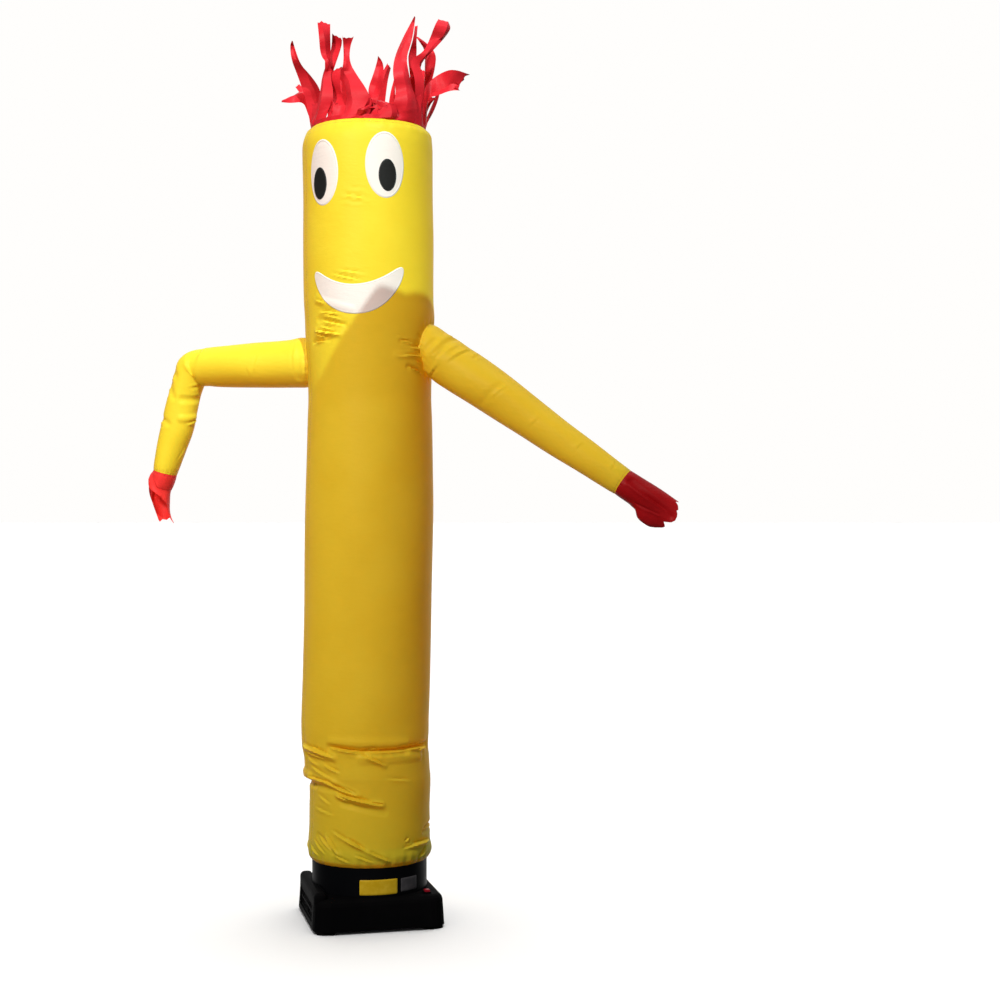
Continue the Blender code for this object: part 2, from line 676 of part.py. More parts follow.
def ribbon_surface(row, shape):
    """One strip, from its root inside the band, through its knee, to its tip."""
    angle = math.radians(row.azimuth)
    root = Vector((BAND_RADIUS * math.sin(angle), -BAND_RADIUS * math.cos(angle), 0.0))
    root += Vector((TUBE_TOP.centre_x, 0.0, BAND_BOTTOM + 0.5 * BAND_HEIGHT))
    root -= Vector((math.sin(angle), -math.cos(angle), 0.0)) * BAND_WALL / 2
    along_rim = Vector((math.cos(angle), math.sin(angle), 0.0))
    knee = root + Vector((row.knee_side, 0.5 * row.lean, row.knee_rise))
    tip = root + Vector((row.tip_side, 1.5 * row.lean, row.tip_rise))
    pull = 2 * knee - 0.5 * (root + tip)
    rails = []
    for step in range(RIBBON_STEPS + 1):
        t = step / RIBBON_STEPS
        centre = (1 - t) ** 2 * root + 2 * t * (1 - t) * pull + t * t * tip
        way = (2 * (1 - t) * (pull - root) + 2 * t * (tip - pull)).normalized()
        if t < 0.5:
            turn = row.knee_turn * 2 * t
            width = row.root_width + (row.knee_width - row.root_width) * 2 * t
        else:
            turn = row.knee_turn + (row.tip_turn - row.knee_turn) * (2 * t - 1)
            width = row.knee_width + (row.tip_width - row.knee_width) * (2 * t - 1)
        across = along_rim
        if step > 0:
            across = (along_rim - way * along_rim.dot(way)).normalized()
            across = Matrix.Rotation(math.radians(turn), 3, way) @ across
        rails.append([shape.verts.new(centre + across * side * width / 2) for side in (-1, 1)])
    for (near_1, near_2), (far_1, far_2) in zip(rails, rails[1:]):
        shape.faces.new((near_1, near_2, far_2, far_1))


def make_hair():
    strips = bmesh.new()
    for row in RIBBONS:
        ribbon_surface(row, strips)
    ribbons = add_cutter("hair_ribbons", strips)
    solidify(ribbons, RIBBON, 0.0)
    hair = turned_ring(
        "hair", BAND_RADIUS + BAND_WALL / 2, BAND_WALL,
        BAND_BOTTOM, BAND_BOTTOM + BAND_HEIGHT, PARTS, RED_CLOTH,
    )
    hair.location.x = TUBE_TOP.centre_x
    union = cut(hair, ribbons, "UNION")
    union.use_self = True


# Blower


def block(size, centre, bottom_scale=1.0):
    shape = bmesh.new()
    bmesh.ops.create_cube(shape, size=1.0)
    for vertex in shape.verts:
        scale = bottom_scale if vertex.co.z < 0 else 1.0
        vertex.co = Vector((
            vertex.co.x * size[0] * scale + centre[0],
            vertex.co.y * size[1] * scale + centre[1],
            vertex.co.z * size[2] + centre[2],
        ))
    return shape


def round_edges(shape, chosen, radius, segments):
    edges = [edge for edge in shape.edges if chosen(edge)]
    bmesh.ops.bevel(shape, geom=edges, offset=radius, segments=segments, affect="EDGES", profile=0.5)


def upright(edge):
    way = edge.verts[1].co - edge.verts[0].co
    return abs(way.z) > 0.8 * way.length


def at_height(height):
    return lambda edge: all(abs(vertex.co.z - height) < 1e-5 for vertex in edge.verts)


def rod(radius, bottom, top, sides=TUBE_SIDES, tip_radius=None):
    shape = bmesh.new()
    bmesh.ops.create_cone(
        shape, cap_ends=True, segments=sides, radius1=radius,
        radius2=radius if tip_radius is None else tip_radius, depth=top - bottom,
        matrix=Matrix.Translation((0, 0, 0.5 * (bottom + top))),
    )
    return shape


def make_housing(frame):
    shape = block(
        (2 * HOUSING_TOP_HALF, 2 * HOUSING_TOP_HALF, DECK_HEIGHT - HOUSING_BOTTOM),
        (0, 0, 0.5 * (DECK_HEIGHT + HOUSING_BOTTOM)),
        bottom_scale=HOUSING_HALF / HOUSING_TOP_HALF,
    )
    round_edges(shape, upright, CORNER_RADIUS, 4)
    round_edges(shape, at_height(DECK_HEIGHT), TOP_ROUNDING, 3)
    housing = add_object("housing", shape, PARTS, BLACK_PLASTIC, frame)

    shoulder_base = SHOULDER_HEIGHT - SHOULDER_DEPTH
    shoulder_x = 0.5 * SHOULDER_WIDTH - HOUSING_TOP_HALF - SHOULDER_OVERHANG
    shoulder = block(
        (SHOULDER_WIDTH, SHOULDER_LENGTH, SHOULDER_HEIGHT - shoulder_base),
        (shoulder_x, 0, 0.5 * (SHOULDER_HEIGHT + shoulder_base)),
    )
    round_edges(shoulder, upright, SHOULDER_CORNER, 3)
    round_edges(shoulder, at_height(SHOULDER_HEIGHT), SHOULDER_ROUNDING, 3)
    cut(housing, add_cutter("shoulder", shoulder, frame), "UNION")
    seat = rod(COLLAR_RADIUS + GAP, COLLAR_SEAT - GAP, SHOULDER_HEIGHT + SEAT_HEADROOM)
    cut(housing, add_cutter("collar_seat", seat))
    well = rod(FAN_WELL_RADIUS, FAN_WELL_FLOOR, SHOULDER_HEIGHT)
    cut(housing, add_cutter("fan_well", well))
    recess = block(
        (RECESS_DEPTH, GRILLE_LENGTH + 2 * GAP, GRILLE_HEIGHT + 2 * GAP),
        (GRILLE_FACE - RECESS_DEPTH / 2, 0, GRILLE_MIDDLE),
    )
    cut(housing, add_cutter("grille_recess", recess, frame))


def make_grille(frame):
    """A flat lattice in the recess of the housing's side."""
    shape = block(
        (GRILLE_WALL, GRILLE_LENGTH, GRILLE_HEIGHT),
        (GRILLE_FACE - GAP - GRILLE_WALL / 2, 0, GRILLE_MIDDLE),
    )
    grille = add_object("intake_grille", shape, PARTS, BLACK_PLASTIC, frame)
    column = (GRILLE_LENGTH - GRILLE_BAR) / GRILLE_COLUMNS
    row = (GRILLE_HEIGHT - GRILLE_BAR) / GRILLE_ROWS
    windows = bmesh.new()
    for i in range(GRILLE_COLUMNS):
        for j in range(GRILLE_ROWS):
            y = -GRILLE_LENGTH / 2 + GRILLE_BAR / 2 + (i + 0.5) * column
            z = GRILLE_MIDDLE - GRILLE_HEIGHT / 2 + GRILLE_BAR / 2 + (j + 0.5) * row
            made = bmesh.ops.create_cube(windows, size=1.0)
            for vertex in made["verts"]:
                vertex.co = Vector((
                    vertex.co.x * 4 * GRILLE_WALL + GRILLE_FACE,
                    vertex.co.y * (column - GRILLE_BAR) + y,
                    vertex.co.z * (row - GRILLE_BAR) + z,
                ))
    cut(grille, add_cutter("grille_windows", windows, frame))


def make_plate(name, finish, azimuth_1, azimuth_2, bottom, top):
    """A bare plate bent round the collar, from one azimuth and height to another."""
    radius = COLLAR_RADIUS + GAP + FACET_RISE

    def place(u, v):
        angle = math.radians(azimuth_1 + (azimuth_2 - azimuth_1) * u)
        return Vector((radius * math.sin(angle), -radius * math.cos(angle), bottom + (top - bottom) * v))

    columns = round((azimuth_2 - azimuth_1) / PLATE_DEGREES)
    plate = add_object(name, mapped_grid(columns, 1, place), PARTS, finish)
    solidify(plate, PLATE_WALL, 1.0)


def rounded_pad(size, centre, corner):
    shape = block(size, centre)
    round_edges(shape, upright, corner, 3)
    return shape


def make_feet(frame):
    top = HOUSING_BOTTOM - GAP
    for index, (x, y) in enumerate(((-1, -1), (1, -1), (1, 1), (-1, 1))):
        centre = (x * FOOT_PLACE, y * FOOT_PLACE, top / 2)
        shape = rounded_pad((FOOT_SIZE, FOOT_SIZE, top), centre, FOOT_CORNER)
        add_object("foot_%d" % (index + 1), shape, PARTS, BLACK_RUBBER, frame)
    pan = rounded_pad((PAN_SIZE, PAN_SIZE, top), (0, 0, top / 2), PAN_CORNER)
    add_object("base_pan", pan, PARTS, BLACK_PLASTIC, frame)


def make_switch(frame):
    x, y = SWITCH_PLACE
    length, width = SWITCH_SIZE
    bezel_bottom = DECK_HEIGHT + GAP
    rocker_bottom = bezel_bottom + BEZEL_RISE + GAP
    bezel_size = (width + 2 * BEZEL_RIM, length + 2 * BEZEL_RIM, BEZEL_RISE)
    bezel = rounded_pad(bezel_size, (x, y, bezel_bottom + BEZEL_RISE / 2), BEZEL_RIM)
    add_object("switch_bezel", bezel, PARTS, BLACK_PLASTIC, frame)
    rocker = block((width, length, ROCKER_RISE), (x, y, rocker_bottom + ROCKER_RISE / 2))
    round_edges(rocker, at_height(rocker_bottom + ROCKER_RISE), ROCKER_ROUNDING, 2)
    add_object("switch_rocker", rocker, PARTS, RED_PLASTIC, frame)


def make_gland(frame):
    """The short tapered gland at the back where the lead would enter."""
    shape = rod(GLAND_RADIUS, 0.0, GLAND_LENGTH, GLAND_SIDES, GLAND_TIP_RADIUS)
    gland = add_object("cord_gland", shape, PARTS, BLACK_RUBBER, frame)
    slope = (HOUSING_HALF - HOUSING_TOP_HALF) / (DECK_HEIGHT - HOUSING_BOTTOM)
    x, z = GLAND_PLACE
    gland.location = (x, HOUSING_HALF - slope * (z - GLAND_RADIUS - HOUSING_BOTTOM) + GAP, z)
    gland.rotation_euler = (-math.pi / 2, 0, 0)


def make_blower():
    frame = bpy.data.objects.new("blower_frame", None)
    frame.location.x = HOUSING_SHIFT
    frame.rotation_euler.z = HOUSING_TURN
    PARTS.objects.link(frame)
    make_housing(frame)
    make_grille(frame)
    make_feet(frame)
    make_switch(frame)
    make_gland(frame)
    turned_ring("collar", COLLAR_RADIUS, COLLAR_WALL, COLLAR_SEAT, COLLAR_TOP, PARTS, BLACK_PLASTIC)
    make_plate("plate_yellow", YELLOW_PLATE, *YELLOW_PLACE)
    make_plate("plate_grey", GREY_PLATE, *GREY_PLACE)


clear_scene()
PARTS = new_collection("air_dancer")
CUTTERS = new_collection("cutters")

left_sleeve = SleevePath(LEFT_SLEEVE, LEFT_ARM_AZIMUTH, LEFT_SLEEVE_FOLDS)
right_sleeve = SleevePath(RIGHT_SLEEVE, RIGHT_ARM_AZIMUTH, RIGHT_SLEEVE_FOLDS)

body_tube = make_tube()
tube_core = make_tube_core()
make_arm("arm_left", left_sleeve, LEFT_WRIST_ROW, body_tube, tube_core)
make_arm("arm_right", right_sleeve, RIGHT_WRIST_ROW, body_tube, tube_core)
make_hand("hand_left", left_sleeve, LEFT_WRIST_ROW, LEFT_HAND_EDGE)
make_hand("hand_right", right_sleeve, RIGHT_WRIST_ROW, RIGHT_HAND_EDGE)
make_face()
make_hair()
make_blower()
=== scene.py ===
"""Looks of an inflatable air dancer: fine cloth, folds, stitching, ribbons, finishes, light and camera."""

import json
import math
from collections import namedtuple

import bmesh
import bpy
import numpy as np
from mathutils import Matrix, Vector

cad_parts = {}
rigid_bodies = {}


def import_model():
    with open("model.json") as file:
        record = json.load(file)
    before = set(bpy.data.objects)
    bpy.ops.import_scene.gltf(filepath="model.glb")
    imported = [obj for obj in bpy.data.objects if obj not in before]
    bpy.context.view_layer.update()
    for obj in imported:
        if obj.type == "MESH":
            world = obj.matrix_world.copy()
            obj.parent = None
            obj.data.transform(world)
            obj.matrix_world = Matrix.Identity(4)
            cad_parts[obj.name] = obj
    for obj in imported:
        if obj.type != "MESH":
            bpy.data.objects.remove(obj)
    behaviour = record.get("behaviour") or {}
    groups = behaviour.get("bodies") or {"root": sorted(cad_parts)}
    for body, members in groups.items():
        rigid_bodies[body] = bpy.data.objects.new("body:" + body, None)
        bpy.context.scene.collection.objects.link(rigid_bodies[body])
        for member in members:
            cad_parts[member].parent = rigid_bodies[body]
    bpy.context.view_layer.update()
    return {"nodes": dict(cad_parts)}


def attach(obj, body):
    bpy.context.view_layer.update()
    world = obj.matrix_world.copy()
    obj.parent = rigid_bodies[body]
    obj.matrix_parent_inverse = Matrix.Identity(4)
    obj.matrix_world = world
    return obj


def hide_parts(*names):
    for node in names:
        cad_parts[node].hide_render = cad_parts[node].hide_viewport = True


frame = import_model()

BODY = "root"
CAMERA_PLACE = (0.2650, -3.5, 0.8476)

# The figure's sizes, in metres and degrees, as its solids have them. Azimuth 0 is the front and 90 is +X.
TUBE_MEAN_RADIUS = 0.127
LEFT_ARM_AZIMUTH = -104.0
RIGHT_ARM_AZIMUTH = 76.0
LEFT_WRIST_ROW = 13
RIGHT_WRIST_ROW = 10

FACE_AZIMUTH = -9.0
FACE_TILT = 0.0055
FACE_RADIUS = 0.1320
EYE_SPREAD = 28.3
EYE_HEIGHT = 1.4995
EYE_HALF_WIDTH = 0.0390
EYE_HALF_HEIGHT = 0.0645
PUPIL_SPREAD = 31.3
PUPIL_SHIFT = -1.1
LEFT_EYE_SHIFT = -0.9
LEFT_EYE_HALF_WIDTH = 0.0366
PUPIL_DROP = 0.0205
PUPIL_HALF_WIDTH = 0.0190
PUPIL_HALF_HEIGHT = 0.0328
MOUTH_HALF_SPAN = 42.5
MOUTH_TILT = 0.0022
MOUTH_SHIFT = 2.0
MOUTH_TOP = 1.270
MOUTH_TOP_CURL = 0.042
MOUTH_BOTTOM = 1.213
MOUTH_BOTTOM_CURL = 0.064
MOUTH_BOTTOM_BEND = 2.25
MOUTH_MARGIN = 0.004
MOUTH_CALM = 0.007
BAND_HEIGHT = 0.008


def table(kind, rows):
    """Rows of one kind, each from its numbers in the order of the kind's names."""
    return tuple(kind(*row) for row in rows)


Section = namedtuple("Section", "height centre_x radius")
TUBE_SECTIONS = table(Section, (
    (0.125, 0.0, 0.1182), (0.131, 0.0, 0.1218), (0.144, 0.001, 0.1245), (0.16, -0.001, 0.1232),
    (0.185, 0.0, 0.1225), (0.225, 0.0, 0.1218), (0.268, 0.001, 0.1225), (0.288, -0.001, 0.1245),
    (0.3, -0.004, 0.1262), (0.33, -0.006, 0.1265), (0.352, -0.009, 0.1272), (0.38, -0.009, 0.1288),
    (0.405, -0.009, 0.129), (0.472, -0.007, 0.129), (0.634, -0.003, 0.129), (0.817, 0.0, 0.13),
    (0.919, 0.0, 0.128), (1.01, 0.0, 0.126), (1.061, 0.0, 0.1245), (1.165, 0.0, 0.129),
    (1.215, 0.001, 0.1312), (1.254, -0.001, 0.1312), (1.376, -0.002, 0.132), (1.457, -0.003, 0.1312),
    (1.545, -0.004, 0.132), (1.56, -0.004, 0.1318), (1.572, -0.0035, 0.1305), (1.584, -0.002, 0.1275),
    (1.5925, -0.002, 0.1225), (1.598, -0.002, 0.116),
))

# A fold runs straight from one place on the unrolled cloth to another. A positive lift is a ridge.
Fold = namedtuple("Fold", "azimuth_1 height_1 azimuth_2 height_2 half_width lift")
BUCKLE_FOLDS = table(Fold, (
    (-66, 0.352, -26, 0.341, 0.012, 0.0035), (-66, 0.338, -28, 0.329, 0.011, -0.0025),
    (-28, 0.359, 4, 0.353, 0.012, -0.005), (4, 0.353, 44, 0.353, 0.012, -0.006),
    (44, 0.354, 78, 0.356, 0.012, -0.0045), (-28, 0.373, 44, 0.368, 0.013, 0.0025),
    (0, 0.339, 60, 0.338, 0.014, 0.003), (4, 0.349, 20, 0.326, 0.011, 0.002),
    (-112, 0.3, -60, 0.296, 0.013, 0.0045), (-60, 0.296, -28, 0.291, 0.012, 0.003),
    (-112, 0.281, -60, 0.279, 0.012, -0.0055), (-60, 0.28, -28, 0.276, 0.011, -0.003),
    (-28, 0.291, -7, 0.268, 0.011, 0.0025), (-26, 0.266, 15, 0.248, 0.011, 0.0035),
    (-22, 0.252, 18, 0.233, 0.011, -0.0025), (110, 0.362, 165, 0.345, 0.013, -0.0045),
    (165, 0.345, 235, 0.352, 0.013, -0.005), (118, 0.343, 200, 0.33, 0.013, 0.003),
    (150, 0.29, 215, 0.301, 0.012, -0.003), (205, 0.272, 240, 0.262, 0.012, 0.003),
))
HEM_FOLDS = table(Fold, (
    (-39, 0.182, -25, 0.151, 0.01, 0.002), (-52, 0.18, -31, 0.155, 0.01, -0.002),
    (-16, 0.182, 3, 0.158, 0.01, 0.002), (3, 0.156, 22, 0.138, 0.01, 0.002),
    (46, 0.163, 78, 0.163, 0.01, 0.0025), (68, 0.184, 106, 0.187, 0.01, -0.0065),
    (58, 0.136, 68, 0.15, 0.009, -0.0015), (140, 0.18, 165, 0.15, 0.01, 0.002),
    (205, 0.178, 182, 0.15, 0.01, -0.002), (238, 0.175, 215, 0.148, 0.01, 0.002),
))
SHOULDER_FOLDS = table(Fold, (
    (-54, 1.16, -34, 1.166, 0.01, -0.002), (-50, 1.183, -22, 1.173, 0.01, 0.002),
    (-46, 1.204, -18, 1.19, 0.01, -0.002), (-48, 1.245, -12, 1.222, 0.012, 0.0015),
    (34, 1.161, 60, 1.152, 0.01, -0.002), (42, 1.111, 62, 1.1, 0.01, -0.0025),
    (29, 1.133, 59, 1.135, 0.011, 0.0015), (152, 1.168, 125, 1.152, 0.011, -0.002),
    (-158, 1.15, -130, 1.142, 0.011, -0.002),
))
TUBE_FOLDS = BUCKLE_FOLDS + HEM_FOLDS + SHOULDER_FOLDS

# A sleeve's section: reach from the tube's axis, height of its centre, half its size up and across.
# The hand carries the sleeve on past the wrist seam.
Sleeve = namedtuple("Sleeve", "reach height radius_up radius_side")
LEFT_SLEEVE = table(Sleeve, (
    (0.078, 1.131, 0.0525, 0.052), (0.124, 1.13, 0.0525, 0.052), (0.144, 1.129, 0.0515, 0.0515),
    (0.17, 1.1275, 0.049, 0.0495), (0.25, 1.1258, 0.0462, 0.0465), (0.329, 1.125, 0.042, 0.042),
    (0.356, 1.1242, 0.0395, 0.0395), (0.386, 1.118, 0.0372, 0.037), (0.4005, 1.083, 0.0318, 0.036),
    (0.411, 1.0452, 0.0328, 0.036), (0.4205, 1.0036, 0.034, 0.0345), (0.434, 0.962, 0.0308, 0.0335),
    (0.4457, 0.9204, 0.0258, 0.033), (0.4495, 0.9055, 0.024, 0.0325), (0.4555, 0.888, 0.024, 0.03),
    (0.4625, 0.8726, 0.0245, 0.027), (0.4605, 0.8434, 0.0185, 0.024), (0.4575, 0.8226, 0.015, 0.021),
    (0.452, 0.805, 0.014, 0.019), (0.444, 0.791, 0.0135, 0.018),
))
RIGHT_SLEEVE = table(Sleeve, (
    (0.08, 1.183, 0.047, 0.048), (0.124, 1.152, 0.047, 0.048), (0.1418, 1.1404, 0.0465, 0.048),
    (0.162, 1.127, 0.0478, 0.048), (0.185, 1.1115, 0.0474, 0.0476), (0.2085, 1.0965, 0.0473, 0.0474),
    (0.2745, 1.053, 0.0444, 0.0445), (0.3399, 1.0065, 0.0397, 0.04), (0.4049, 0.9612, 0.0356, 0.036),
    (0.469, 0.9174, 0.0315, 0.032), (0.5212, 0.8819, 0.0284, 0.029), (0.548, 0.864, 0.0285, 0.026),
    (0.571, 0.849, 0.0295, 0.0235), (0.594, 0.834, 0.03, 0.019), (0.617, 0.819, 0.029, 0.015),
    (0.64, 0.804, 0.026, 0.012),
))

# A fold on a sleeve: its place along the sleeve and round it, 0 on top and 90 in front
SleeveFold = namedtuple("SleeveFold", "along_1 round_1 along_2 round_2 half_width lift")
LEFT_SLEEVE_FOLDS = table(SleeveFold, (
    (0.05, 30, 0.062, 130, 0.012, -0.002), (0.285, 20, 0.305, 150, 0.012, -0.003),
    (0.318, 0, 0.33, 60, 0.011, -0.0025), (0.345, 30, 0.372, 75, 0.011, -0.002),
    (0.365, 175, 0.372, 110, 0.011, -0.003), (0.405, 180, 0.412, 120, 0.011, 0.003),
    (0.42, 20, 0.428, 75, 0.011, -0.002), (0.3, 200, 0.312, 300, 0.012, -0.003),
    (0.545, 20, 0.585, 110, 0.011, 0.003), (0.6, 95, 0.65, 80, 0.009, -0.003),
))
RIGHT_SLEEVE_FOLDS = table(SleeveFold, (
    (0.095, 0, 0.088, 80, 0.011, -0.0025), (0.082, 10, 0.07, 100, 0.011, 0.002),
    (0.07, 60, 0.058, 150, 0.011, -0.003), (0.06, 185, 0.058, 130, 0.011, -0.003),
    (0.085, 190, 0.08, 140, 0.011, 0.0025), (0.23, 60, 0.215, 130, 0.012, -0.0015),
    (0.09, 230, 0.08, 320, 0.012, -0.0025), (0.55, 60, 0.65, 95, 0.011, -0.003),
    (0.606, 165, 0.632, 190, 0.024, 0.007), (0.584, 170, 0.586, 190, 0.012, -0.003),
    (0.57, 280, 0.65, 260, 0.011, -0.0025), (0.594, 172, 0.62, 172, 0.026, 0.0075),
))

# Crisp pleats of the finer cloth, which stands proud by depth on one side of a line and dips on the other
Pleat = namedtuple("Pleat", "azimuth_1 height_1 azimuth_2 height_2 above below depth")
TUBE_PLEATS = table(Pleat, (
    (-72, 0.36, -40, 0.35, 0.012, 0.016, 0.0016), (-52, 0.357, -24, 0.342, 0.012, 0.018, 0.0022),
    (-66, 0.347, -30, 0.336, 0.009, 0.01, 0.0012), (-30, 0.361, 4, 0.352, 0.014, 0.018, 0.0034),
    (-2, 0.354, 48, 0.353, 0.014, 0.02, 0.003), (2, 0.357, 16, 0.361, 0.01, 0.006, 0.002),
    (34, 0.355, 78, 0.355, 0.012, 0.018, 0.0034), (38, 0.361, 72, 0.363, 0.008, 0.008, 0.0016),
    (56, 0.349, 80, 0.357, 0.008, 0.01, 0.0018), (2, 0.349, 22, 0.325, 0.012, 0.014, 0.002),
    (-38, 0.326, -20, 0.311, 0.01, 0.012, 0.0016), (-66, 0.334, -44, 0.322, 0.012, 0.012, 0.001),
    (-58, 0.318, -30, 0.3, 0.014, 0.014, 0.0012), (-108, 0.291, -60, 0.287, 0.014, 0.016, -0.0018),
    (-64, 0.297, -30, 0.29, 0.01, 0.014, 0.0016), (-40, 0.293, -7, 0.267, 0.012, 0.014, 0.0028),
    (-20, 0.284, -8, 0.27, 0.007, 0.007, 0.0014), (-30, 0.272, 16, 0.248, 0.012, 0.016, 0.0034),
    (-28, 0.268, -14, 0.256, 0.008, 0.01, 0.0018), (-2, 0.256, 18, 0.251, 0.008, 0.008, -0.0014),
    (-54, 0.262, -34, 0.246, 0.012, 0.012, 0.0009), (-60, 0.236, -30, 0.226, 0.014, 0.014, 0.0007),
    (20, 0.3, 46, 0.292, 0.014, 0.014, 0.0006), (112, 0.363, 166, 0.346, 0.014, 0.018, 0.0032),
    (160, 0.345, 238, 0.353, 0.014, 0.018, 0.0032), (120, 0.346, 150, 0.331, 0.012, 0.012, 0.0018),
    (176, 0.33, 216, 0.318, 0.012, 0.012, 0.0018), (206, 0.272, 246, 0.258, 0.012, 0.014, 0.0024),
    (146, 0.292, 178, 0.284, 0.012, 0.014, 0.002),
))
HEM_PLEATS = table(Pleat, (
    (-40, 0.186, -25, 0.15, 0.01, 0.012, 0.002), (-52, 0.184, -31, 0.154, 0.009, 0.009, 0.0018),
    (-60, 0.172, -40, 0.146, 0.008, 0.008, 0.0014), (-70, 0.158, -50, 0.14, 0.008, 0.008, 0.0016),
    (-34, 0.196, -2, 0.164, 0.012, 0.014, 0.0014), (-18, 0.184, 4, 0.157, 0.01, 0.012, 0.0024),
    (2, 0.16, 24, 0.136, 0.009, 0.012, 0.0024), (-10, 0.15, 8, 0.136, 0.008, 0.008, 0.0016),
    (-30, 0.148, -14, 0.134, 0.008, 0.008, 0.0014), (39, 0.172, 44, 0.179, 0.006, 0.008, 0.002),
    (36, 0.158, 60, 0.166, 0.008, 0.01, 0.0012), (46, 0.165, 80, 0.164, 0.01, 0.014, 0.0028),
    (58, 0.134, 70, 0.152, 0.008, 0.01, 0.002), (66, 0.188, 106, 0.19, 0.012, 0.01, 0.0034),
    (124, 0.176, 150, 0.152, 0.01, 0.012, 0.002), (168, 0.184, 188, 0.156, 0.01, 0.012, 0.0018),
    (206, 0.178, 184, 0.15, 0.01, 0.012, 0.002), (240, 0.176, 214, 0.148, 0.01, 0.012, 0.002),
    (262, 0.16, 282, 0.142, 0.01, 0.01, 0.0016),
))
SHOULDER_PLEATS = table(Pleat, (
    (-52, 1.184, -20, 1.173, 0.008, 0.012, 0.0022), (-52, 1.177, -34, 1.166, 0.006, 0.008, 0.0022),
    (-57, 1.159, -34, 1.164, 0.008, 0.01, 0.0018), (-44, 1.203, -16, 1.189, 0.009, 0.012, 0.0016),
    (-40, 1.214, -20, 1.203, 0.008, 0.01, 0.001), (-46, 1.193, -28, 1.183, 0.006, 0.008, 0.0012),
    (-51, 1.245, -15, 1.224, 0.01, 0.012, 0.0013), (-49, 1.258, -24, 1.236, 0.008, 0.01, 0.001),
    (-48, 1.221, -8, 1.211, 0.01, 0.012, 0.0012), (-49, 1.278, -31, 1.248, 0.007, 0.008, 0.0012),
    (-31, 1.293, 2, 1.274, 0.008, 0.009, 0.001), (-26, 1.3, 4, 1.289, 0.008, 0.008, 0.0007),
    (-22, 1.448, 8, 1.435, 0.008, 0.009, 0.0007), (-16, 1.46, 6, 1.452, 0.007, 0.008, 0.0005),
    (-24, 1.434, 2, 1.426, 0.007, 0.008, 0.0005), (42, 1.15, 62, 1.152, 0.007, 0.01, 0.0016),
    (33, 1.162, 47, 1.159, 0.007, 0.009, 0.0014), (28, 1.17, 40, 1.168, 0.007, 0.009, 0.0008),
    (41, 1.112, 63, 1.099, 0.008, 0.012, 0.0024), (28, 1.132, 60, 1.136, 0.008, 0.01, 0.0014),
    (50, 1.124, 62, 1.12, 0.006, 0.008, 0.0014), (150, 1.17, 124, 1.152, 0.009, 0.012, 0.002),
    (144, 1.118, 120, 1.106, 0.009, 0.012, 0.0018), (-160, 1.15, -136, 1.142, 0.009, 0.012, 0.002),
    (-152, 1.112, -134, 1.104, 0.009, 0.012, 0.0016),
))
ALL_PLEATS = TUBE_PLEATS + HEM_PLEATS + SHOULDER_PLEATS

SleevePleat = namedtuple("SleevePleat", "along_1 round_1 along_2 round_2 before after depth")
LEFT_SLEEVE_PLEATS = table(SleevePleat, (
    (0.324, 182, 0.304, 112, 0.01, 0.014, 0.0036), (0.306, 118, 0.3, 46, 0.01, 0.012, 0.0024),
    (0.292, 66, 0.276, 12, 0.008, 0.01, 0.002), (0.282, 78, 0.268, 34, 0.007, 0.008, 0.0014),
    (0.33, 50, 0.352, 12, 0.007, 0.008, 0.0018), (0.346, 54, 0.366, 18, 0.007, 0.008, 0.0016),
    (0.366, 60, 0.378, 26, 0.006, 0.007, 0.001), (0.33, 178, 0.344, 120, 0.008, 0.01, -0.0016),
    (0.146, 66, 0.158, 112, 0.008, 0.01, 0.0012), (0.138, 24, 0.15, 62, 0.008, 0.01, 0.001),
    (0.172, 92, 0.166, 124, 0.007, 0.009, 0.0009), (0.066, 30, 0.07, 120, 0.008, 0.012, 0.0014),
    (0.408, 196, 0.42, 140, 0.006, 0.012, 0.0034), (0.424, 62, 0.434, 8, 0.007, 0.008, 0.0016),
    (0.44, 60, 0.446, 24, 0.006, 0.007, 0.001), (0.462, 176, 0.5, 158, 0.006, 0.008, 0.0012),
    (0.322, 196, 0.306, 262, 0.01, 0.014, 0.0034), (0.308, 256, 0.3, 318, 0.01, 0.012, 0.002),
    (0.392, 240, 0.402, 300, 0.008, 0.01, 0.0014), (0.546, 10, 0.596, 84, 0.006, 0.01, 0.002),
    (0.552, 84, 0.566, 112, 0.006, 0.008, 0.001),
))
RIGHT_SLEEVE_PLEATS = table(SleevePleat, (
    (0.136, 12, 0.114, 88, 0.008, 0.012, 0.0028), (0.112, 28, 0.102, 72, 0.007, 0.009, 0.002),
    (0.092, 66, 0.086, 104, 0.007, 0.009, 0.002), (0.154, 4, 0.148, 44, 0.007, 0.009, 0.002),
    (0.16, 44, 0.148, 18, 0.006, 0.008, 0.0014), (0.104, 96, 0.092, 152, 0.008, 0.012, 0.0026),
    (0.092, 178, 0.086, 134, 0.007, 0.01, 0.002), (0.242, 48, 0.226, 116, 0.008, 0.01, 0.0014),
    (0.33, 60, 0.322, 116, 0.008, 0.01, 0.0008), (0.43, 40, 0.424, 90, 0.008, 0.01, 0.0008),
    (0.5, 20, 0.506, 80, 0.006, 0.008, 0.001), (0.126, 230, 0.112, 310, 0.009, 0.012, 0.0024),
    (0.15, 262, 0.142, 330, 0.009, 0.012, 0.0016), (0.54, 78, 0.64, 88, 0.012, 0.012, 0.003),
    (0.56, 140, 0.64, 112, 0.008, 0.008, 0.0016),
))


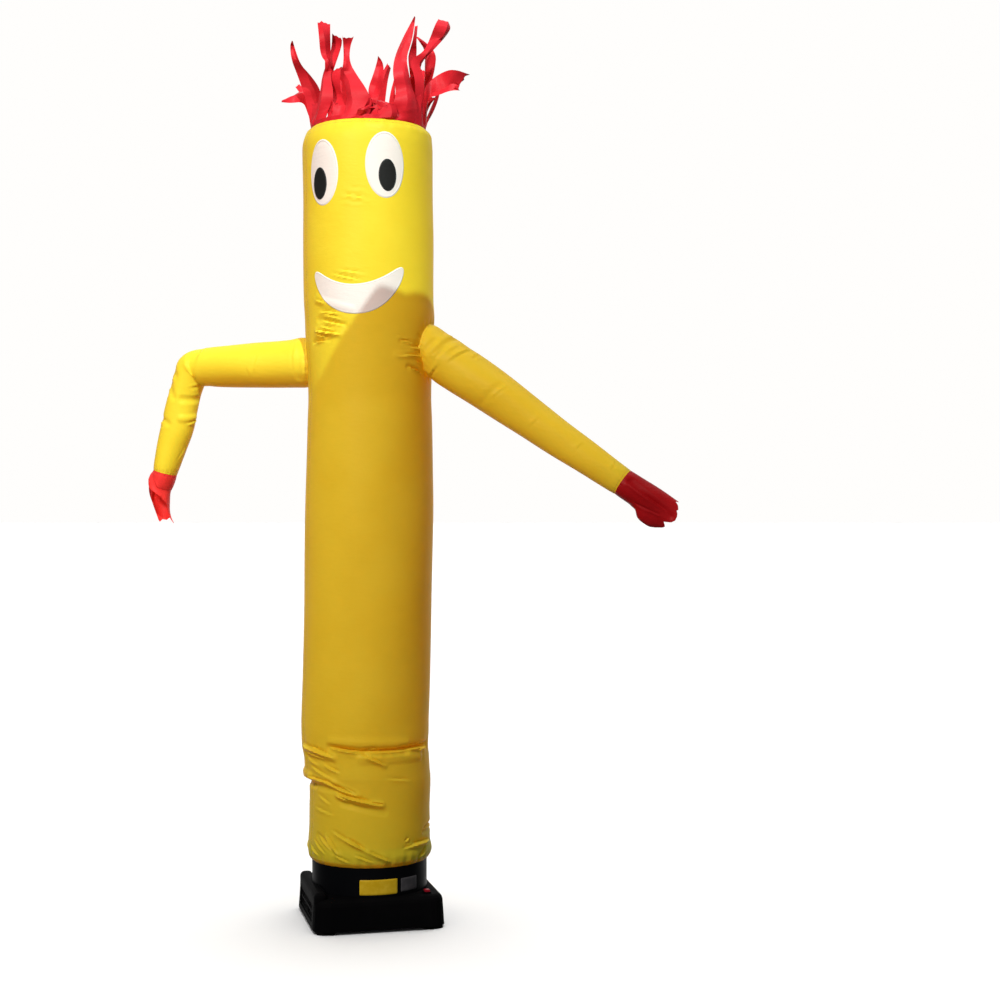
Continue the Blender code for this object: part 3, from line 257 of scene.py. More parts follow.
def smooth_values(keys, values, places):
    """Values at the places, on a smooth curve through the pairs of keys and values."""
    keys, values = np.asarray(keys, float), np.asarray(values, float)
    last = len(keys) - 1
    order = np.arange(last + 1)
    low, high = np.maximum(order - 1, 0), np.minimum(order + 1, last)
    slopes = (values[high] - values[low]) / (keys[high] - keys[low])
    index = np.clip(np.searchsorted(keys, places, side="right") - 1, 0, last - 1)
    span = keys[index + 1] - keys[index]
    t = (places - keys[index]) / span
    return (
        (2 * t**3 - 3 * t**2 + 1) * values[index]
        + (t**3 - 2 * t**2 + t) * span * slopes[index]
        + (3 * t**2 - 2 * t**3) * values[index + 1]
        + (t**3 - t**2) * span * slopes[index + 1]
    )


def run_places(across, along, start, end):
    """How far each place is along the run from start to end, from 0 to 1, and how far off to its left."""
    way_across, way_along = end[0] - start[0], end[1] - start[1]
    length = math.hypot(way_across, way_along)
    to_across, to_along = across - start[0], along - start[1]
    share = (to_across * way_across + to_along * way_along) / length**2
    offset = (to_along * way_across - to_across * way_along) / length
    return share, offset, length


def soft_fold(across, along, start, end, half_width, lift):
    """The round fold that the solids have, fading out to its sides and past its ends."""
    share, offset, length = run_places(across, along, start, end)
    past = (share - np.clip(share, 0, 1)) * length
    distance = np.hypot(offset, past) / half_width
    return lift * np.where(distance < 1, (1 - distance**2) ** 2, 0.0)


PLEAT_STEP = 0.0016
PLEAT_DEPTH = 4.6


def crisp_pleat(across, along, start, end, left, right, depth):
    """A pleat with a sharp step on its line: proud on its right, dipped on its left, flat at its ends."""
    share, offset, _ = run_places(across, along, start, end)
    reach = np.where(offset > 0, left, right)
    side = np.clip(1 - np.abs(offset) / reach, 0, 1) ** 3
    ends = np.clip(1 - (2 * share - 1) ** 2, 0, 1)
    return -PLEAT_DEPTH * depth * np.tanh(offset / PLEAT_STEP) * side * ends


# Places on the tube

TUBE_HEIGHTS = [row.height for row in TUBE_SECTIONS]
TUBE_TOP = TUBE_SECTIONS[-1]
HEM = TUBE_SECTIONS[0]


def arc(azimuth):
    """How far round the unrolled tube an azimuth is."""
    return np.radians(azimuth) * TUBE_MEAN_RADIUS


def wrapped(degrees):
    """The same turn, from -180 to 180."""
    return (degrees + 180.0) % 360.0 - 180.0


def mouth_edges(spread):
    """Lower and upper edge of the mouth at places from its left end (-1) to its right end (1)."""
    low = MOUTH_BOTTOM + MOUTH_BOTTOM_CURL * np.abs(spread) ** MOUTH_BOTTOM_BEND
    high = MOUTH_TOP + MOUTH_TOP_CURL * spread**2
    return low, high


def under_mouth(azimuth, height):
    """1 where the sewn-on mouth stiffens the cloth and keeps it smooth, fading to 0 round it."""
    side = wrapped(azimuth - FACE_AZIMUTH)
    spread = (side - MOUTH_SHIFT) / MOUTH_HALF_SPAN
    low, high = mouth_edges(np.clip(spread, -1.0, 1.0))
    level = height - MOUTH_TILT * side / EYE_SPREAD
    past = np.maximum(np.maximum(low - level, level - high), 0.0)
    past = past + np.maximum(np.abs(spread) - 1.0, 0.0) * arc(MOUTH_HALF_SPAN)
    return np.clip(1.0 - (past - MOUTH_MARGIN) / MOUTH_CALM, 0.0, 1.0)


SWELL = 0.0009
SIDE_SEAM = -67.0
SIDE_SEAM_HALF_WIDTH = 0.0035
SIDE_SEAM_DIP = 0.0009
SIDE_SEAM_START = 0.01

# A ring of little gathers round the tube: its height, how far it fades up and down, and its depth
Gather = namedtuple("Gather", "height reach depth")
TUBE_GATHERS = (
    Gather(HEM.height + 0.010, 0.014, 0.0008),
    Gather(1.590, 0.012, 0.0004),
    Gather(0.352, 0.020, 0.0004),
)


def unrolled(row, azimuth):
    """Azimuths as places across the cloth unrolled about a fold, and the fold's two ends there."""
    middle = 0.5 * (row.azimuth_1 + row.azimuth_2)
    near = azimuth + 360.0 * np.round((middle - azimuth) / 360.0)
    return arc(near), (arc(row.azimuth_1), row.height_1), (arc(row.azimuth_2), row.height_2)


def tube_lift(azimuth, height):
    """What the folds, pleats, seams and swells add to the tube's radius."""
    total = np.zeros(np.broadcast(azimuth, height).shape)
    loose = 1.0 - under_mouth(azimuth, height)
    for row in TUBE_FOLDS:
        across, start, end = unrolled(row, azimuth)
        total += soft_fold(across, height, start, end, row.half_width, row.lift)
    for row in ALL_PLEATS:
        across, start, end = unrolled(row, azimuth)
        total += loose * crisp_pleat(across, height, start, end, row.above, row.below, row.depth)
    turn = np.radians(azimuth)
    total += SWELL * (np.sin(3 * turn + 9 * height) + np.sin(5 * turn - 14 * height + 1.0)) / 2
    gathers = np.sin(23 * turn + 2.0 * np.sin(3 * turn)) + 0.7 * np.sin(41 * turn + 1.0)
    for row in TUBE_GATHERS:
        total += row.depth * gathers * np.exp(-(((height - row.height) / row.reach) ** 2))
    seam = np.abs(wrapped(azimuth - SIDE_SEAM)) * math.radians(1) * TUBE_MEAN_RADIUS
    start = np.clip((height - HEM.height) / SIDE_SEAM_START, 0, 1)
    total -= SIDE_SEAM_DIP * np.exp(-((seam / SIDE_SEAM_HALF_WIDTH) ** 2)) * start
    return total


def tube_points(azimuth, height, lift=0.0):
    """Points on the cloth's outer face, or lift outside it."""
    azimuth, height = np.broadcast_arrays(np.asarray(azimuth, float), np.asarray(height, float))
    radius = smooth_values(TUBE_HEIGHTS, [row.radius for row in TUBE_SECTIONS], height)
    radius = radius + tube_lift(azimuth, height) + lift
    middle = smooth_values(TUBE_HEIGHTS, [row.centre_x for row in TUBE_SECTIONS], height)
    turn = np.radians(azimuth)
    return np.stack((middle + radius * np.sin(turn), -radius * np.cos(turn), height + 0 * radius), axis=-1)


SLEEVE_PLEAT_SHARE = 0.5
SLEEVE_SWELL = 0.0006
ROOT_SEARCH = 0.120


class SleevePath:
    """A sleeve's centre line, in the upright plane through the tube's axis at one azimuth."""

    def __init__(self, rows, azimuth, folds, pleats, wrist_row):
        turn = math.radians(azimuth)
        self.out = np.array((math.sin(turn), -math.cos(turn), 0.0))
        self.side = 1.0 if self.out[0] > 0 else -1.0
        self.front = self.side * np.array((self.out[1], -self.out[0], 0.0))
        self.rows, self.folds, self.pleats = rows, folds, pleats
        pairs = list(zip(rows, rows[1:]))
        steps = [math.hypot(far.reach - near.reach, far.height - near.height) for near, far in pairs]
        self.keys = np.concatenate(((0.0,), np.cumsum(steps)))
        self.wrist = self.keys[wrist_row]

    def column(self, name, along):
        return smooth_values(self.keys, [getattr(row, name) for row in self.rows], along)

    def centre(self, along):
        reach, height = self.column("reach", along), self.column("height", along)
        return reach[..., None] * self.out + height[..., None] * np.array((0.0, 0.0, 1.0))

    def up(self, along):
        step = 0.002
        low, high = np.maximum(along - step, 0.0), np.minimum(along + step, self.keys[-1])
        way = self.centre(high) - self.centre(low)
        way /= np.linalg.norm(way, axis=-1, keepdims=True)
        rise = (way @ self.out)[..., None] * np.array((0.0, 0.0, 1.0))
        return rise - way[..., 2:] * self.out

    def unrolled(self, row, turn):
        """Turns as places across the cloth unrolled about a fold, and the fold's two ends there."""
        radius = self.column("radius_up", np.array(0.5 * (row.along_1 + row.along_2)))
        start = math.radians(row.round_1) * radius, row.along_1
        end = math.radians(row.round_2) * radius, row.along_2
        return np.radians(turn) * radius, start, end

    def lift(self, along, turn):
        """What the folds, pleats and swells add to the sleeve's radius."""
        total = np.zeros(along.shape)
        turn = turn % 360.0
        for row in self.folds:
            across, start, end = self.unrolled(row, turn)
            total += soft_fold(across, along, start, end, row.half_width, row.lift)
        for row in self.pleats:
            across, start, end = self.unrolled(row, turn)
            depth = SLEEVE_PLEAT_SHARE * row.depth
            total += crisp_pleat(across, along, start, end, row.before, row.after, depth)
        total += SLEEVE_SWELL * np.sin(np.radians(turn) * 3 + along * 31) * np.sin(along * 17 + 1.0)
        return total

    def points(self, along, turn, lift=0.0):
        """Points at distances along the sleeve, turned from its top (0) through its front (90)."""
        along, turn = np.broadcast_arrays(np.asarray(along, float), np.asarray(turn, float))
        extra = self.lift(along, turn) + lift
        angle = np.radians(turn)
        rise = (self.column("radius_up", along) + extra) * np.cos(angle)
        swing = (self.column("radius_side", along) + extra) * np.sin(angle)
        return self.centre(along) + rise[..., None] * self.up(along) + swing[..., None] * self.front

    def root(self, turn):
        """Where each line along the sleeve meets the tube, as a distance along the sleeve."""
        low, high = np.zeros(len(turn)), np.full(len(turn), ROOT_SEARCH)
        for _ in range(24):
            middle = 0.5 * (low + high)
            place = self.points(middle, turn)
            azimuth = np.degrees(np.arctan2(place[:, 0], -place[:, 1]))
            wall = tube_points(azimuth, place[:, 2])
            inside = np.hypot(place[:, 0], place[:, 1]) < np.hypot(wall[:, 0], wall[:, 1])
            low, high = np.where(inside, middle, low), np.where(inside, high, middle)
        return low

    def ratio(self, places):
        """How far places on the tube are from the sleeve's root line: under 1 inside it."""
        along = np.array(self.keys[1])
        away = places - self.centre(along)
        up = (away @ self.up(along)) / self.column("radius_up", along)
        across = (away @ self.front) / self.column("radius_side", along)
        return np.where(places @ self.out > 0, np.hypot(up, across), 9.0)


LEFT_PATH = SleevePath(
    LEFT_SLEEVE, LEFT_ARM_AZIMUTH, LEFT_SLEEVE_FOLDS, LEFT_SLEEVE_PLEATS, LEFT_WRIST_ROW,
)
RIGHT_PATH = SleevePath(
    RIGHT_SLEEVE, RIGHT_ARM_AZIMUTH, RIGHT_SLEEVE_FOLDS, RIGHT_SLEEVE_PLEATS, RIGHT_WRIST_ROW,
)


# Finishes


class Value:
    """A number that changes over a surface, with ordinary arithmetic."""

    def __init__(self, finish, socket):
        self.finish, self.socket = finish, socket

    def math(self, operation, first, second=0.0):
        return self.finish.node("Math", {0: first, 1: second}, operation=operation)

    def __add__(self, other):
        return self.math("ADD", self, other)

    def __rsub__(self, other):
        return self.math("SUBTRACT", other, self)

    def __mul__(self, other):
        return self.math("MULTIPLY", self, other)

    def wave(self):
        return self.math("SINE", self)

    def between(self, low, high):
        """0 below low, 1 above high, and smooth between them."""
        values = {"Value": self, "From Min": low, "From Max": high}
        return self.finish.node("MapRange", values, interpolation_type="SMOOTHSTEP")


class Finish:
    """A procedural material."""

    def __init__(self, name, constants):
        self.material = bpy.data.materials.new(name)
        self.material.use_nodes = True
        self.tree = self.material.node_tree
        self.shader = self.tree.nodes["Principled BSDF"]
        for socket, value in constants.items():
            self.shader.inputs[socket].default_value = value

    def node(self, kind, values, output=0, **settings):
        """Adds a node, its settings first, then the values or links of its sockets, and gives an output."""
        made = self.tree.nodes.new("ShaderNode" + kind)
        for name, setting in settings.items():
            setattr(made, name, setting)
        for socket, value in values.items():
            if isinstance(value, Value):
                self.tree.links.new(value.socket, made.inputs[socket])
            else:
                made.inputs[socket].default_value = value
        return Value(self, made.outputs[output])

    def set(self, socket, value):
        self.tree.links.new(value.socket, self.shader.inputs[socket])

    def place(self, output="Object"):
        return self.node("TexCoord", {}, output)

    def noise(self, scale, detail=2.0, roughness=0.5, stretch=None):
        where = self.place()
        if stretch:
            where = self.node("VectorMath", {0: where, 1: stretch}, operation="MULTIPLY")
        values = {"Vector": where, "Scale": scale, "Detail": detail, "Roughness": roughness}
        return self.node("TexNoise", values)

    def blend(self, mask, colour_1, colour_2):
        return self.node("Mix", {"Factor": mask, 6: colour_1, 7: colour_2}, 2, data_type="RGBA")

    def bump(self, height, distance, strength=1.0):
        self.set("Normal", self.node("Bump", {"Height": height, "Distance": distance, "Strength": strength}))

    def glow_through(self, share, colour):
        """Lets that share of the light through the cloth, in one colour."""
        output = self.tree.nodes["Material Output"]
        behind = self.node("BsdfTranslucent", {"Color": colour})
        both = self.node("MixShader", {0: share, 1: Value(self, self.shader.outputs[0]), 2: behind})
        self.tree.links.new(both.socket, output.inputs["Surface"])


def shade(red, green, blue):
    """A colour that lets nothing through."""
    return (red, green, blue, 1.0)


THREAD_PITCH = 0.0011
HEM_BAND_TOP = 0.1315
HEM_BAND_BLEND = 0.0015
HEM_BAND_SHARE = 0.75
HEM_BAND_COLOUR = (0.95, 0.46, 0.012)
WEAVE_RISE = 0.06
CRINKLE_RISE = 1.1
STREAK_RISE = 0.5


def cloth_finish(name, light, dark, through, share, roughness=0.44, hem=0.0):
    """Thin coated nylon: a plain weave, faint streaks, drifting tone, and a deeper band along a hem."""
    finish = Finish(name, {"Roughness": roughness, "Specular IOR Level": 0.12})
    drift = finish.noise(7.0, 3.0).between(0.36, 0.66)
    streaks = finish.noise(42.0, 3.0, 0.6, (1.0, 1.0, 4.0))
    tone = drift * 0.65 + streaks * 0.35
    colour = finish.blend(tone, shade(*dark), shade(*light))
    cross = finish.node("SeparateXYZ", {0: finish.place("UV")}, "X")
    length = finish.node("SeparateXYZ", {0: finish.place("UV")}, "Y")
    if hem:
        doubled = 1.0 - length.between(hem - HEM_BAND_BLEND, hem + HEM_BAND_BLEND)
        colour = finish.blend(doubled * HEM_BAND_SHARE, colour, shade(*HEM_BAND_COLOUR))
    finish.set("Base Color", colour)
    fine = finish.noise(240.0, 2.0)
    finish.set("Roughness", fine * 0.14 + (roughness - 0.07))
    warp = (cross * (2 * math.pi / THREAD_PITCH)).wave()
    weft = (length * (2 * math.pi / THREAD_PITCH)).wave()
    threads = warp * weft * 0.5
    crinkle = finish.noise(70.0, 4.0, 0.65, (1.0, 1.0, 2.2))
    finish.bump(threads * WEAVE_RISE + crinkle * CRINKLE_RISE + streaks * STREAK_RISE, 0.0009, 0.55)
    finish.glow_through(share, shade(*through))
    return finish.material


def thread_finish(name, colour):
    finish = Finish(name, {"Roughness": 0.55, "Sheen Weight": 0.1})
    tone = finish.noise(900.0, 2.0)
    deep = tuple(0.7 * part for part in colour)
    finish.set("Base Color", finish.blend(tone, shade(*deep), shade(*colour)))
    finish.bump(tone, 0.0003, 0.4)
    return finish.material


def plastic_finish(name, colour, worn, roughness, grain=0.35, gloss=0.035):
    """Moulded plastic with a fine grain, faint dust on what faces up and slightly worn patches."""
    finish = Finish(name, {"Specular IOR Level": gloss})
    patches = finish.noise(9.0, 5.0, 0.6).between(0.45, 0.75)
    specks = finish.noise(650.0, 2.0)
    upward = finish.node("SeparateXYZ", {0: finish.node("NewGeometry", {}, "Normal")}, "Z").between(0.4, 1.0)
    dust = upward * finish.noise(26.0, 4.0, 0.6).between(0.35, 0.8) * 0.4
    finish.set("Base Color", finish.blend(patches * 0.5 + dust, shade(*colour), shade(*worn)))
    finish.set("Roughness", patches * 0.12 + specks * 0.08 + dust * 0.2 + (roughness - 0.08))
    finish.bump(specks, 0.00035, grain)
    return finish.material


def plate_finish(name, colour, edge_colour):
    finish = Finish(name, {"Roughness": 0.34, "Specular IOR Level": 0.12})
    mottle = finish.noise(60.0, 4.0, 0.6).between(0.35, 0.75)
    finish.set("Base Color", finish.blend(mottle, shade(*colour), shade(*edge_colour)))
    finish.set("Roughness", finish.noise(130.0, 3.0) * 0.2 + 0.24)
    finish.bump(finish.noise(500.0, 2.0), 0.0002, 0.3)
    return finish.material


YELLOW_SHADES = (0.94, 0.850, 0.050), (0.88, 0.765, 0.036), (0.95, 0.44, 0.006), 0.30
YELLOW_CLOTH = cloth_finish("yellow_nylon", *YELLOW_SHADES)
TUBE_CLOTH = cloth_finish("tube_nylon", *YELLOW_SHADES, hem=HEM_BAND_TOP)
RED_CLOTH = cloth_finish("red_nylon", (0.96, 0.062, 0.050), (0.84, 0.036, 0.033), (0.80, 0.02, 0.012), 0.14)
# Painted shade: a darker copy of the red nylon for the right hand, which hangs in the main light's shade.
PAINTED_SHADE_RED_SHADES = (0.46, 0.007, 0.011), (0.32, 0.003, 0.005), (0.5, 0.01, 0.01), 0.05
PAINTED_SHADE_RED_CLOTH = cloth_finish("deep_red_nylon", *PAINTED_SHADE_RED_SHADES)
RIBBON_SHADES = (0.76, 0.026, 0.040), (0.54, 0.012, 0.020), (0.7, 0.01, 0.01), 0.05
RIBBON_CLOTH = cloth_finish("ribbon_nylon", *RIBBON_SHADES)
WHITE_CLOTH = cloth_finish("white_nylon", (0.89, 0.825, 0.76), (0.83, 0.765, 0.70), (0.9, 0.8, 0.6), 0.10)
BLACK_SHADES = (0.018, 0.0175, 0.0165), (0.011, 0.011, 0.010), (0.02, 0.02, 0.02), 0.02
BLACK_CLOTH = cloth_finish("black_nylon", *BLACK_SHADES)
YELLOW_THREAD = thread_finish("yellow_thread", (0.80, 0.46, 0.02))
RED_THREAD = thread_finish("red_thread", (0.42, 0.012, 0.015))
WHITE_THREAD = thread_finish("white_thread", (0.90, 0.84, 0.77))
BLACK_THREAD = thread_finish("black_thread", (0.006, 0.006, 0.006))
HOUSING_SHADES = (0.0024, 0.0026, 0.0030), (0.0052, 0.0055, 0.0060)
BLACK_PLASTIC = plastic_finish("black_plastic", *HOUSING_SHADES, 0.56, gloss=0.008)
COLLAR_SHADES = (0.0022, 0.0028, 0.0036), (0.0050, 0.0055, 0.0062)
COLLAR_PLASTIC = plastic_finish("collar_plastic", *COLLAR_SHADES, 0.42, gloss=0.04)
BLACK_RUBBER = plastic_finish("black_rubber", (0.004, 0.004, 0.004), (0.008, 0.008, 0.008), 0.72, 0.6)
RED_PLASTIC = plastic_finish("red_plastic", (0.30, 0.004, 0.016), (0.36, 0.010, 0.022), 0.36, 0.15, 0.2)
YELLOW_PLATE = plate_finish("yellow_plate", (0.62, 0.43, 0.010), (0.72, 0.53, 0.03))
GREY_PLATE = plate_finish("grey_plate", (0.055, 0.058, 0.064), (0.085, 0.088, 0.095))


# Meshes


def sheet_mesh(name, points, places, material, around=False, keep=None):
    """A sheet from rows of points, with places on the flat cloth as its map. keep says which faces stay."""
    rows, columns = points.shape[:2]
    faces, corners = [], []
    for i in range(rows - 1):
        for j in range(columns if around else columns - 1):
            if keep is not None and not keep[i, j]:
                continue
            k = (j + 1) % columns
            faces.append((i * columns + j, i * columns + k, (i + 1) * columns + k, (i + 1) * columns + j))
            corners += (places[i, j], places[i, j + 1], places[i + 1, j + 1], places[i + 1, j])
    mesh = bpy.data.meshes.new(name)
    mesh.from_pydata(points.reshape(-1, 3).tolist(), [], faces)
    flat = mesh.uv_layers.new(name="flat")
    flat.data.foreach_set("uv", np.asarray(corners, dtype=np.float32).ravel())
    return finished_object(name, mesh, material)


def finished_object(name, mesh, material):
    """A smooth object made from a mesh, in one material."""
    mesh.materials.append(material)
    mesh.shade_smooth()
    thing = bpy.data.objects.new(name, mesh)
    bpy.context.scene.collection.objects.link(thing)
    return thing


def drop_loose(thing):
    """Takes out the points that no face uses."""
    mesh = thing.data
    used = np.zeros(len(mesh.vertices), bool)
    loops = np.empty(len(mesh.loops), dtype=np.int32)
    mesh.loops.foreach_get("vertex_index", loops)
    used[loops] = True
    shape = bmesh.new()
    shape.from_mesh(mesh)
    bmesh.ops.delete(shape, geom=[v for v in shape.verts if not used[v.index]], context="VERTS")
    shape.to_mesh(mesh)
    shape.free()


def graded(stops):
    """Places from the first stop to the last, each stretch with its own spacing."""
    places = []
    for (start, pitch), (end, _) in zip(stops, stops[1:]):
        count = max(1, round((end - start) / pitch))
        places += [start + (end - start) * k / count for k in range(count)]
    return np.array(places + [stops[-1][0]])


STITCH_LENGTH = 0.0030
STITCH_PITCH = 0.0042
STITCH_WIDTH = 0.0009


def stitch_row(name, line, outward, material, length=STITCH_LENGTH, pitch=STITCH_PITCH):
    """A row of sewn stitches, each a slim bead that lies on the cloth along the line."""
    steps = np.linalg.norm(np.diff(line, axis=0), axis=1)
    keys = np.concatenate(((0.0,), np.cumsum(steps)))
    middles = np.arange(pitch / 2, keys[-1], pitch)

    def at(places, values):
        return np.stack([np.interp(places, keys, values[:, k]) for k in range(3)], axis=-1)

    start, end, centre = at(middles - length / 2, line), at(middles + length / 2, line), at(middles, line)
    normal = at(middles, outward)
    normal /= np.linalg.norm(normal, axis=1, keepdims=True)
    across = np.cross(normal, end - start)
    across *= STITCH_WIDTH / 2 / np.linalg.norm(across, axis=1, keepdims=True)
    rise = normal * STITCH_WIDTH / 2
    ring = (centre + across, centre + rise, centre - across, centre - rise)
    points, faces = [], []
    for index in range(len(middles)):
        base = len(points)
        points += [start[index], end[index]] + [part[index] for part in ring]
        for k in range(4):
            near, far = base + 2 + k, base + 2 + (k + 1) % 4
            faces += [(base, far, near), (base + 1, near, far)]
    mesh = bpy.data.meshes.new(name)
    mesh.from_pydata([tuple(point) for point in points], [], faces)
    return finished_object(name, mesh, material)


def place_piece(thing, slot, *nodes):
    """Puts a piece on the part's body, in place of its nodes. Its slot is not used."""
    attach(thing, BODY)
    if nodes:
        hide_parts(*nodes)


# Tube

TUBE_ROWS = (
    (0.1250, 0.0018), (0.2050, 0.0030), (0.2350, 0.0020), (0.3750, 0.0050),
    (0.4100, 0.0160), (1.0300, 0.0040), (1.0550, 0.0030), (1.3100, 0.0050),
    (1.4100, 0.0040), (1.4700, 0.0065), (1.5500, 0.0024), (1.5980, 0.0),
)
TUBE_COLUMNS = 288
HEM_TURN = 0.0012
HEM_TUCK = 0.012
HEM_RINGS = 6
SEAM_REACH = 0.009
SEAM_PULL = 0.0024
ROOT_HOLE = 0.90
TUBE_SHARP_ANGLE = math.radians(34)
HEM_SEAM = HEM.height + 0.0085
RIM_SEAM = 1.5905
THREAD_LIFT = 0.0003
SIDE_STITCH_TURN = 0.9
SIDE_STITCH_LENGTH = 0.0034
SIDE_STITCH_PITCH = 0.0060
SIDE_STITCHES_BOTTOM = HEM.height + 0.012
SIDE_STITCHES_TOP = 1.588


def radial(azimuth):
    """The way straight out from the tube's axis."""
    turn = np.radians(azimuth)
    return np.stack((np.sin(turn), -np.cos(turn), 0 * turn), axis=-1)


def seam_pull(places, path):
    """How far the cloth beside a sleeve's seam is drawn in, with little gathers round it."""
    ratio = path.ratio(places)
    radius = path.rows[1].radius_up
    away = np.abs(ratio - 1.0) * radius
    centre = path.centre(np.array(path.keys[1]))
    bearing = np.arctan2(places[..., 2] - centre[2], (places - centre) @ path.front)
    gathers = 0.35 * np.sin(19 * bearing) + 0.25 * np.sin(31 * bearing + 1.0)
    return np.where(ratio < 2.0, -SEAM_PULL * (1.0 + gathers) * np.exp(-((away / SEAM_REACH) ** 2)), 0.0)


def cloth_wall(azimuth, height, lift=0.0):
    """Points on the tube's cloth, drawn in at the seams of the sleeves."""
    flat = tube_points(azimuth, height)
    pull = seam_pull(flat, LEFT_PATH) + seam_pull(flat, RIGHT_PATH)
    return tube_points(azimuth, height, pull + lift)


def make_tube():
    """The tube from its turned hem to its rim, open where each sleeve is sewn on."""
    heights = graded(TUBE_ROWS)
    azimuths = np.arange(TUBE_COLUMNS) * 360.0 / TUBE_COLUMNS
    grid_azimuth, grid_height = np.meshgrid(azimuths, heights)
    points = cloth_wall(grid_azimuth, grid_height)
    turned = np.linspace(0, 1, HEM_RINGS + 1)[1:]
    outward = radial(azimuths)
    hem = [points[0] - outward * HEM_TURN * 2 + np.array((0, 0, HEM_TUCK)) * share for share in turned[::-1]]
    bead = [points[0] - outward * HEM_TURN + np.array((0, 0, -HEM_TURN))]
    cloth = np.concatenate((np.stack(hem), np.stack(bead), points))
    extra = [heights[0] - HEM_TUCK * share for share in turned[::-1]] + [heights[0] - HEM_TURN]
    lengths = np.concatenate((extra, heights))
    columns = np.arange(TUBE_COLUMNS + 1) * math.tau * TUBE_MEAN_RADIUS / TUBE_COLUMNS
    places = np.stack(np.meshgrid(columns, lengths), axis=-1)
    open_root = np.minimum(LEFT_PATH.ratio(cloth), RIGHT_PATH.ratio(cloth)) < ROOT_HOLE
    gone = open_root[:-1] & open_root[1:]
    gone &= np.roll(gone, -1, axis=1)
    tube = sheet_mesh("tube_cloth", cloth, places, TUBE_CLOTH, True, ~gone)
    drop_loose(tube)
    tube.data.set_sharp_from_angle(angle=TUBE_SHARP_ANGLE)
    place_piece(tube, "yellow_nylon", "body_tube")


def make_tube_seams():
    """The stitches of the hem, the rim and the seam up the side."""
    azimuths = np.linspace(0, 360, 241)
    for name, height in (("hem_stitches", HEM_SEAM), ("rim_stitches", RIM_SEAM)):
        line = cloth_wall(azimuths, np.full(len(azimuths), height), THREAD_LIFT)
        place_piece(stitch_row(name, line, radial(azimuths), YELLOW_THREAD), "yellow_nylon")
    heights = np.linspace(SIDE_STITCHES_BOTTOM, SIDE_STITCHES_TOP, 500)
    azimuths = np.full(len(heights), SIDE_SEAM + SIDE_STITCH_TURN)
    line = cloth_wall(azimuths, heights, THREAD_LIFT)
    stitches = SIDE_STITCH_LENGTH, SIDE_STITCH_PITCH
    place_piece(stitch_row("side_stitches", line, radial(azimuths), YELLOW_THREAD, *stitches), "yellow_nylon")


# Sleeves and hands

SLEEVE_COLUMNS = 96
SLEEVE_PITCH = 0.0028
ROOT_PULL = 0.0030
CUFF_PULL = 0.0012


def make_sleeve(name, node, path):
    """A sleeve from where it meets the tube to its wrist, drawn in and stitched at both ends."""
    turn = path.side * np.arange(SLEEVE_COLUMNS) * 360.0 / SLEEVE_COLUMNS
    root = path.root(turn)
    count = round((path.wrist - root.mean()) / SLEEVE_PITCH)
    share = np.linspace(0, 1, count + 1)[:, None]
    along = root[None, :] + (path.wrist - root[None, :]) * share
    grid_turn = np.broadcast_to(turn, along.shape)
    past_root = along - root[None, :]
    before_wrist = path.wrist - along
    wave = np.sin(np.radians(grid_turn) * 17) + 0.7 * np.sin(np.radians(grid_turn) * 29 + 1.0)
    lift = -ROOT_PULL * np.exp(-((past_root / 0.010) ** 2)) * (1 + 0.22 * wave)
    lift += -CUFF_PULL * np.exp(-((before_wrist / 0.007) ** 2)) * (1 + 0.3 * wave)
    points = path.points(along, grid_turn, lift)
    columns = np.arange(SLEEVE_COLUMNS + 1) * math.tau * path.rows[3].radius_up / SLEEVE_COLUMNS
    lengths = np.concatenate((along, along[:, :1]), axis=1)
    places = np.stack((np.broadcast_to(columns, lengths.shape), lengths), axis=-1)
    sleeve = sheet_mesh(name, points, places, YELLOW_CLOTH, True)
    place_piece(sleeve, "yellow_nylon", node)

    closed = np.concatenate((turn, turn[:1] + path.side * 360.0))
    ends = np.concatenate((root, root[:1]))
    outward = path.points(ends + 0.004, closed) - path.centre(ends + 0.004)
    seam = stitch_row(name + "_stitches", path.points(ends + 0.0045, closed, -0.0022), outward, YELLOW_THREAD)
    place_piece(seam, "yellow_nylon")
    wrist = np.full(len(closed), path.wrist - 0.004)
    outward = path.points(wrist, closed) - path.centre(wrist)
    cuff = stitch_row(name + "_cuff_stitches", path.points(wrist, closed, -0.0004), outward, YELLOW_THREAD)
    place_piece(cuff, "yellow_nylon")


# Cut end of a hand: how far the cloth reaches past the wrist seam, round the hand
HandEdge = namedtuple("HandEdge", "round reach")
LEFT_HAND_CUT = table(HandEdge, (
    (0, 0.022), (40, 0.028), (90, 0.042), (140, 0.062), (172, 0.074), (184, 0.112), (196, 0.124),
    (208, 0.118), (222, 0.104), (250, 0.1), (280, 0.102), (310, 0.098), (340, 0.102), (352, 0.098),
    (357, 0.06), (360, 0.022),
))
RIGHT_HAND_CUT = table(HandEdge, (
    (0, 0.112), (16, 0.113), (26, 0.108), (38, 0.116), (56, 0.122), (62, 0.1195), (70, 0.124), (82, 0.127),
    (100, 0.128), (116, 0.123), (130, 0.11), (142, 0.115), (160, 0.117), (180, 0.112), (200, 0.1),
    (220, 0.092), (260, 0.104), (292, 0.1), (320, 0.098), (344, 0.104), (360, 0.112),
))
HAND_COLUMNS = 120
HAND_ROWS = 44
HAND_MEAN_RADIUS = 0.028


